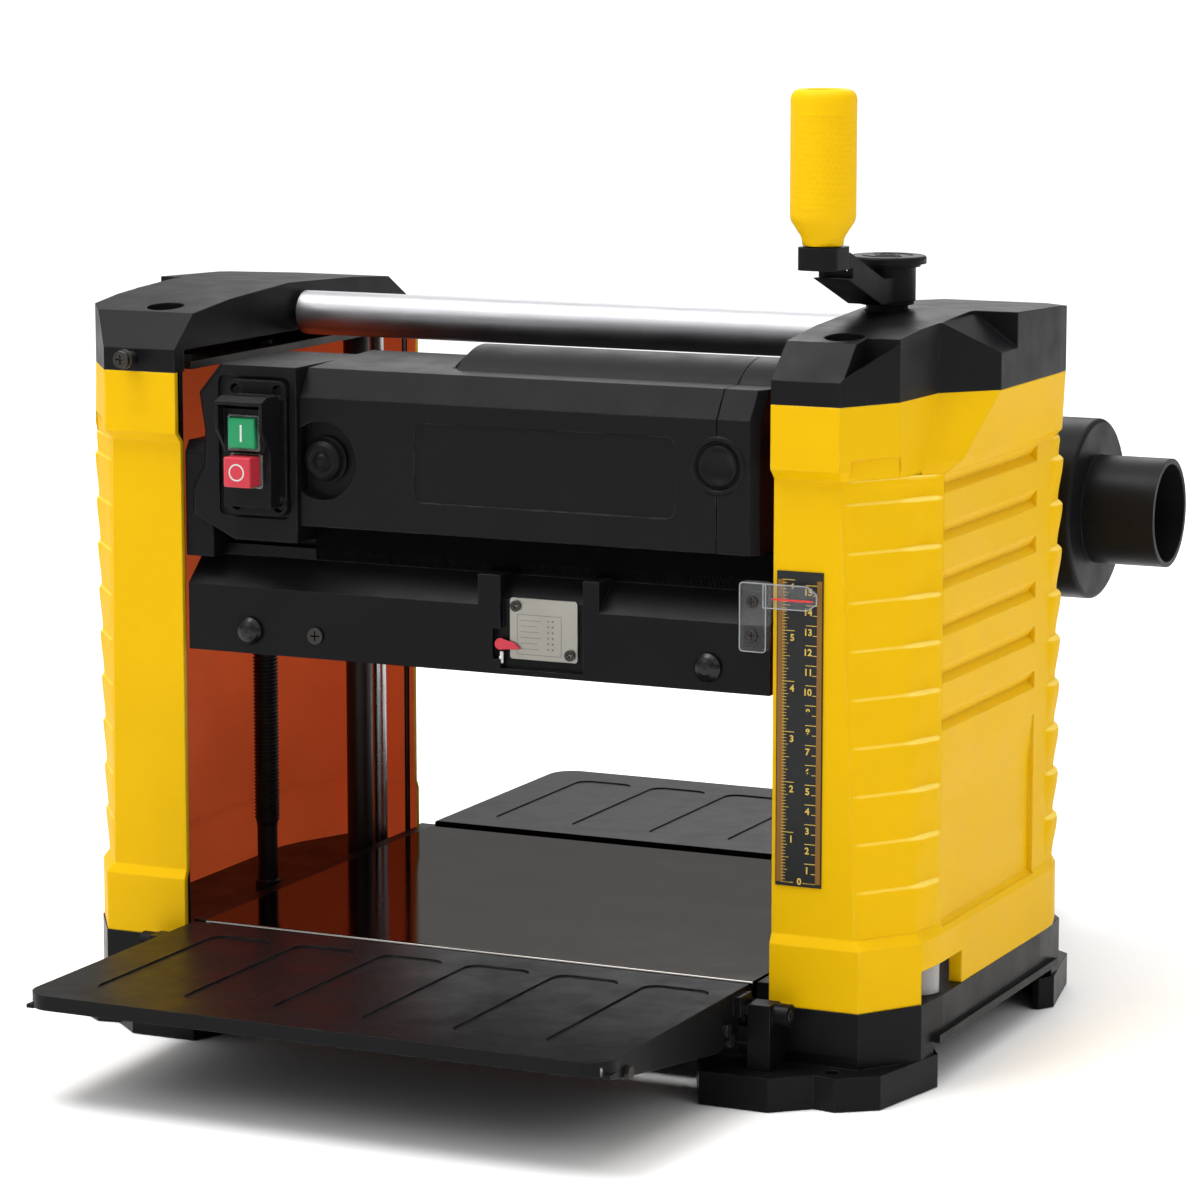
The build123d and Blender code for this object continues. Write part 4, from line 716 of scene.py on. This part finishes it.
def make_crank_marks():
    """Two raised arrows round the cap over the crank's hub."""
    low, high = corners("crank_cap")
    x, y = (low.x + high.x) / 2, (low.y + high.y) / 2
    shape = bmesh.new()
    top, inner, outer, sweep = high.z, 11.0, 13.0, 24
    for first in (20, 200):
        angles = [radians(first + 110 * k / sweep) for k in range(sweep + 1)]
        line = [(inner * cos(a), inner * sin(a)) for a in angles]
        head = radians(first + 128)
        barbs = [(inner - 2, angles[-1]), ((inner + outer) / 2, head), (outer + 2, angles[-1])]
        line += [(r * cos(a), r * sin(a)) for r, a in barbs]
        line += [(outer * cos(a), outer * sin(a)) for a in reversed(angles)]
        floor, roof = ([shape.verts.new(((x + a) * MM, (y + b) * MM, z * MM)) for a, b in line]
                       for z in (top - 0.2, top + 0.4))
        shape.faces.new(roof)
        for k in range(len(line)):
            shape.faces.new((floor[k - 1], floor[k], roof[k], roof[k - 1]))
    lathe(shape, [(4.2, -0.1), (4.6, 0.5), (6.2, 0.5), (6.6, -0.1)], (x, y, top), (0, 0, 1), (1, 0, 0), 40)
    piece("crank_cap_arrows", shape, black_plastic, "crank")


# ---- ribbed corners of the columns -------------------------------------------------------------

rib_low, rib_high = 82.0, 311.0
rib_pitch = 24.2
rib_start = 80.4
rib_ledge = 0.09
skin = 0.25
tucked = 0.4
chamfer_swell = 0.7
strip_swell = 2.6
# plan of the right column's ribbed corners at the foot and the top of the ribs, and how far each swells
front_corner = [((213, -133), (203.5, -133), 0.45), ((234, -104), (223, -104), 1.0),
                ((236, -90), (230, -90), 0.75), ((238.2, -80), (238, -80), 0.5)]
rear_corner = [((238.5, 76), (238, 78), 0.5), ((238, 91), (237.5, 93), 0.5), ((233, 104), (232, 104), 0.5),
               ((213, 133), (203.5, 133), 0.45)]


def along(path, share):
    """Point at this share of a path's length, and its outward direction in plan."""
    lengths = [(b - a).length for a, b in zip(path, path[1:])]
    left = share * sum(lengths)
    for k, length in enumerate(lengths):
        if left <= length or k == len(lengths) - 1:
            run = (path[k + 1] - path[k]).normalized()
            return path[k] + run * left, Vector((run.y, -run.x))
        left -= length


def rib_height(z):
    """0 in the groove above a ledge, rising slowly to 1 at the next ledge."""
    phase = ((z - rib_start) / rib_pitch) % 1
    if phase < rib_ledge:
        return 0.5 + 0.5 * cos(pi * phase / rib_ledge)
    rise = (phase - rib_ledge) / (1 - rib_ledge)
    return rise * rise * (3 - 2 * rise)


def make_ribs(name, side, fuller, corner, swell):
    """Soft clapboard ribs laid over one corner of a column, with their rim tucked into its skin."""
    across, rows = 30, 420
    shape = bmesh.new()
    grid = []
    for row in range(rows + 1):
        z = rib_low + (rib_high - rib_low) * row / rows
        rise = row / rows
        path = [Vector(low).lerp(Vector(high) + Vector((fuller * share, 0)), rise)
                for low, high, share in corner]
        end_fade = min(1, (z - rib_low) / 3, (rib_high - z) / 3)
        line = []
        for column in range(across + 1):
            share = column / across
            spot, out = along(path, share)
            bared = min(1, share * 12, (1 - share) * 12) if 0 < row < rows else 0
            far = (skin + swell(share) * end_fade * rib_height(z)) * bared - tucked * (1 - bared)
            spot = spot + out * far
            line.append(shape.verts.new((side * spot.x * MM, spot.y * MM, z * MM)))
        grid.append(line)
    for below, above in zip(grid, grid[1:]):
        for column in range(across):
            shape.faces.new((below[column], below[column + 1], above[column + 1], above[column]))
    smooth(piece(name, shape, ribbed, "root"))


def front_swell(share):
    """Faint on the front chamfer, full on the strip beside the flat side."""
    return chamfer_swell + (strip_swell - chamfer_swell) * max(0.0, min(1.0, (share - 0.55) / 0.15))


def rear_swell(share):
    """Full on the strip beside the flat side, faint on the rear chamfer."""
    return chamfer_swell + (strip_swell - chamfer_swell) * max(0.0, min(1.0, (0.5 - share) / 0.12))


def make_gap_apron():
    """Dark sheet that closes the gap between the beam and the motor cover, where there is only shade: a
    painted shadow.
    """
    beam, cover = corners("carriage_frame"), corners("motor_cover")
    left, right = cover[0].x + 1, beam[1].x - 32
    front, top = cover[0].y + 15, cover[0].z - 0.6
    shape = bmesh.new()
    slab(shape, (left, front, 251.3), (right, front + 2, top))
    slab(shape, (left, front + 2, 256), (right, front + 7, top))
    piece("gap_shadow_sheet", shape, shadow_black, "carriage")


def make_uprights():
    """Thin angle strips that stiffen the columns' inner edges."""
    high = corners("frame_uprights")[1]
    sheet = 1.0
    foot = 46
    shape = bmesh.new()
    for side in (-1, 1):
        for end in (-1, 1):
            x, y = side * (high.x - 5.2), end * high.y
            flange = (x, x + side * (2.6 if end < 0 else sheet)), (y, y - end * 1.2)
            web = (x, x + side * sheet), (y, y - end * 4.5)
            for xs, ys in (flange, web):
                slab(shape, (min(xs), min(ys), foot), (max(xs), max(ys), high.z - 0.5))
    angles = piece("column_edge_angles", shape, black_metal, "root")
    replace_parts(angles, "frame_uprights")


ear_left, ear_right = -167.8, -151.0
ear_front, ear_back = -130.0, -108.0
ear_foot, ear_top = 251.0, 312.0


def make_left_ear():
    """Upright plate at the beam's left end, behind the switch housing, with its front top corner cut."""
    profile = [(ear_front, ear_foot), (ear_front, ear_top - 6), (ear_front + 4, ear_top), (ear_back, ear_top),
               (ear_back, ear_foot)]
    shape = bmesh.new()
    prism(shape, profile, ear_left, ear_right)
    piece("beam_end_plate", shape, black_metal, "carriage", rounded=0.8)


make_uprights()
make_left_ear()
for side, fuller, label in ((1, 0.0, "right"), (-1, 14.0, "left")):
    make_ribs("front_ribs_" + label, side, fuller, front_corner, front_swell)
    make_ribs("rear_ribs_" + label, side, fuller, rear_corner, rear_swell)
make_gap_apron()
make_scale_print()
make_pointer_line()
make_switch()
make_button("start_button", green, z=320.5, front=-153.3, rear=step_front, side=16.0,
            mark="bar")
make_button("stop_button", red, z=300.7, front=-158.4, rear=panel_front, side=15.8,
            mark="ring")
make_bearing_rings()
make_brush_cap()
make_gauge_print()
make_grip()
make_thread("lead_screw_left", "left_screw")
make_thread("lead_screw_right", "crank")
make_crank_marks()

# ---- floor, lights, camera ---------------------------------------------------------------------

def make_floor():
    """A very large pale disc under the machine."""
    mesh = bpy.data.meshes.new("floor")
    shape = bmesh.new()
    bmesh.ops.create_circle(shape, cap_ends=True, segments=96, radius=60)
    shape.to_mesh(mesh)
    shape.free()
    floor = bpy.data.objects.new("floor", mesh)
    bpy.context.scene.collection.objects.link(floor)
    floor.location.z = cad_box[0].z - 0.0005
    paint(floor, surface("floor_paint", rgb(251, 251, 251), 0.8, mottle=0.002, grain=20, bump=0.0))


def soft_light(name, place, size, energy, aim=(0, 0, 0.22)):
    """A round lamp that points at the machine."""
    light = bpy.data.lights.new(name, "AREA")
    light.shape = "DISK"
    light.size = size
    light.energy = energy
    holder = bpy.data.objects.new(name, light)
    holder.location = place
    holder.rotation_euler = (Vector(aim) - Vector(place)).to_track_quat("-Z", "Y").to_euler()
    bpy.context.scene.collection.objects.link(holder)


def even_light(name, strength):
    """Wide soft light from straight above that reaches all of the floor alike."""
    light = bpy.data.lights.new(name, "SUN")
    light.energy = strength
    light.angle = radians(60)
    holder = bpy.data.objects.new(name, light)
    holder.location = (0, 0, 3)
    bpy.context.scene.collection.objects.link(holder)


def make_studio():
    """A white room lit from overhead, so that top faces catch more light than fronts."""
    world = bpy.data.worlds.new("studio")
    world.use_nodes = True
    tree = world.node_tree
    height = add(tree, "SeparateXYZ", {"Vector": add(tree, "TexCoord").outputs["Generated"]}).outputs["Z"]
    walls = ramp(tree, height, 0.05, 0.6, 0.16, 0.55)
    ceiling = ramp(tree, height, 0.22, 0.6, 0.0, 0.4)
    both = add(tree, "Math", {0: walls, 1: ceiling}, operation="ADD").outputs["Value"]
    sky = tree.nodes["Background"]
    sky.inputs["Color"].default_value = (1, 1, 1, 1)
    tree.links.new(both, sky.inputs["Strength"])
    scene = bpy.context.scene
    scene.world = world
    scene.view_settings.view_transform = "Standard"
    soft_light("key_light", (-1.4, -2.6, 2.4), size=1.6, energy=10)
    soft_light("right_light", (2.6, -1.2, 1.8), size=1.4, energy=4)
    soft_light("top_light", (-0.6, -0.6, 2.5), size=1.4, energy=34)
    soft_light("back_light", (-0.9, 2.6, 1.7), size=1.6, energy=14)
    even_light("even_light", strength=1.2)


def make_camera():
    """The viewpoint: in front, to the right and a little above."""
    lens = bpy.data.cameras.new("camera")
    lens.lens = 131.1
    lens.sensor_width = 36
    camera = bpy.data.objects.new("camera", lens)
    camera.location = (0.9914, -2.1004, 0.5936)
    sight = Vector((-0.41724, 0.89478, -0.15902))
    camera.rotation_euler = sight.to_track_quat("-Z", "Y").to_euler()
    bpy.context.scene.collection.objects.link(camera)
    bpy.context.scene.camera = camera


make_floor()
make_studio()
make_camera()
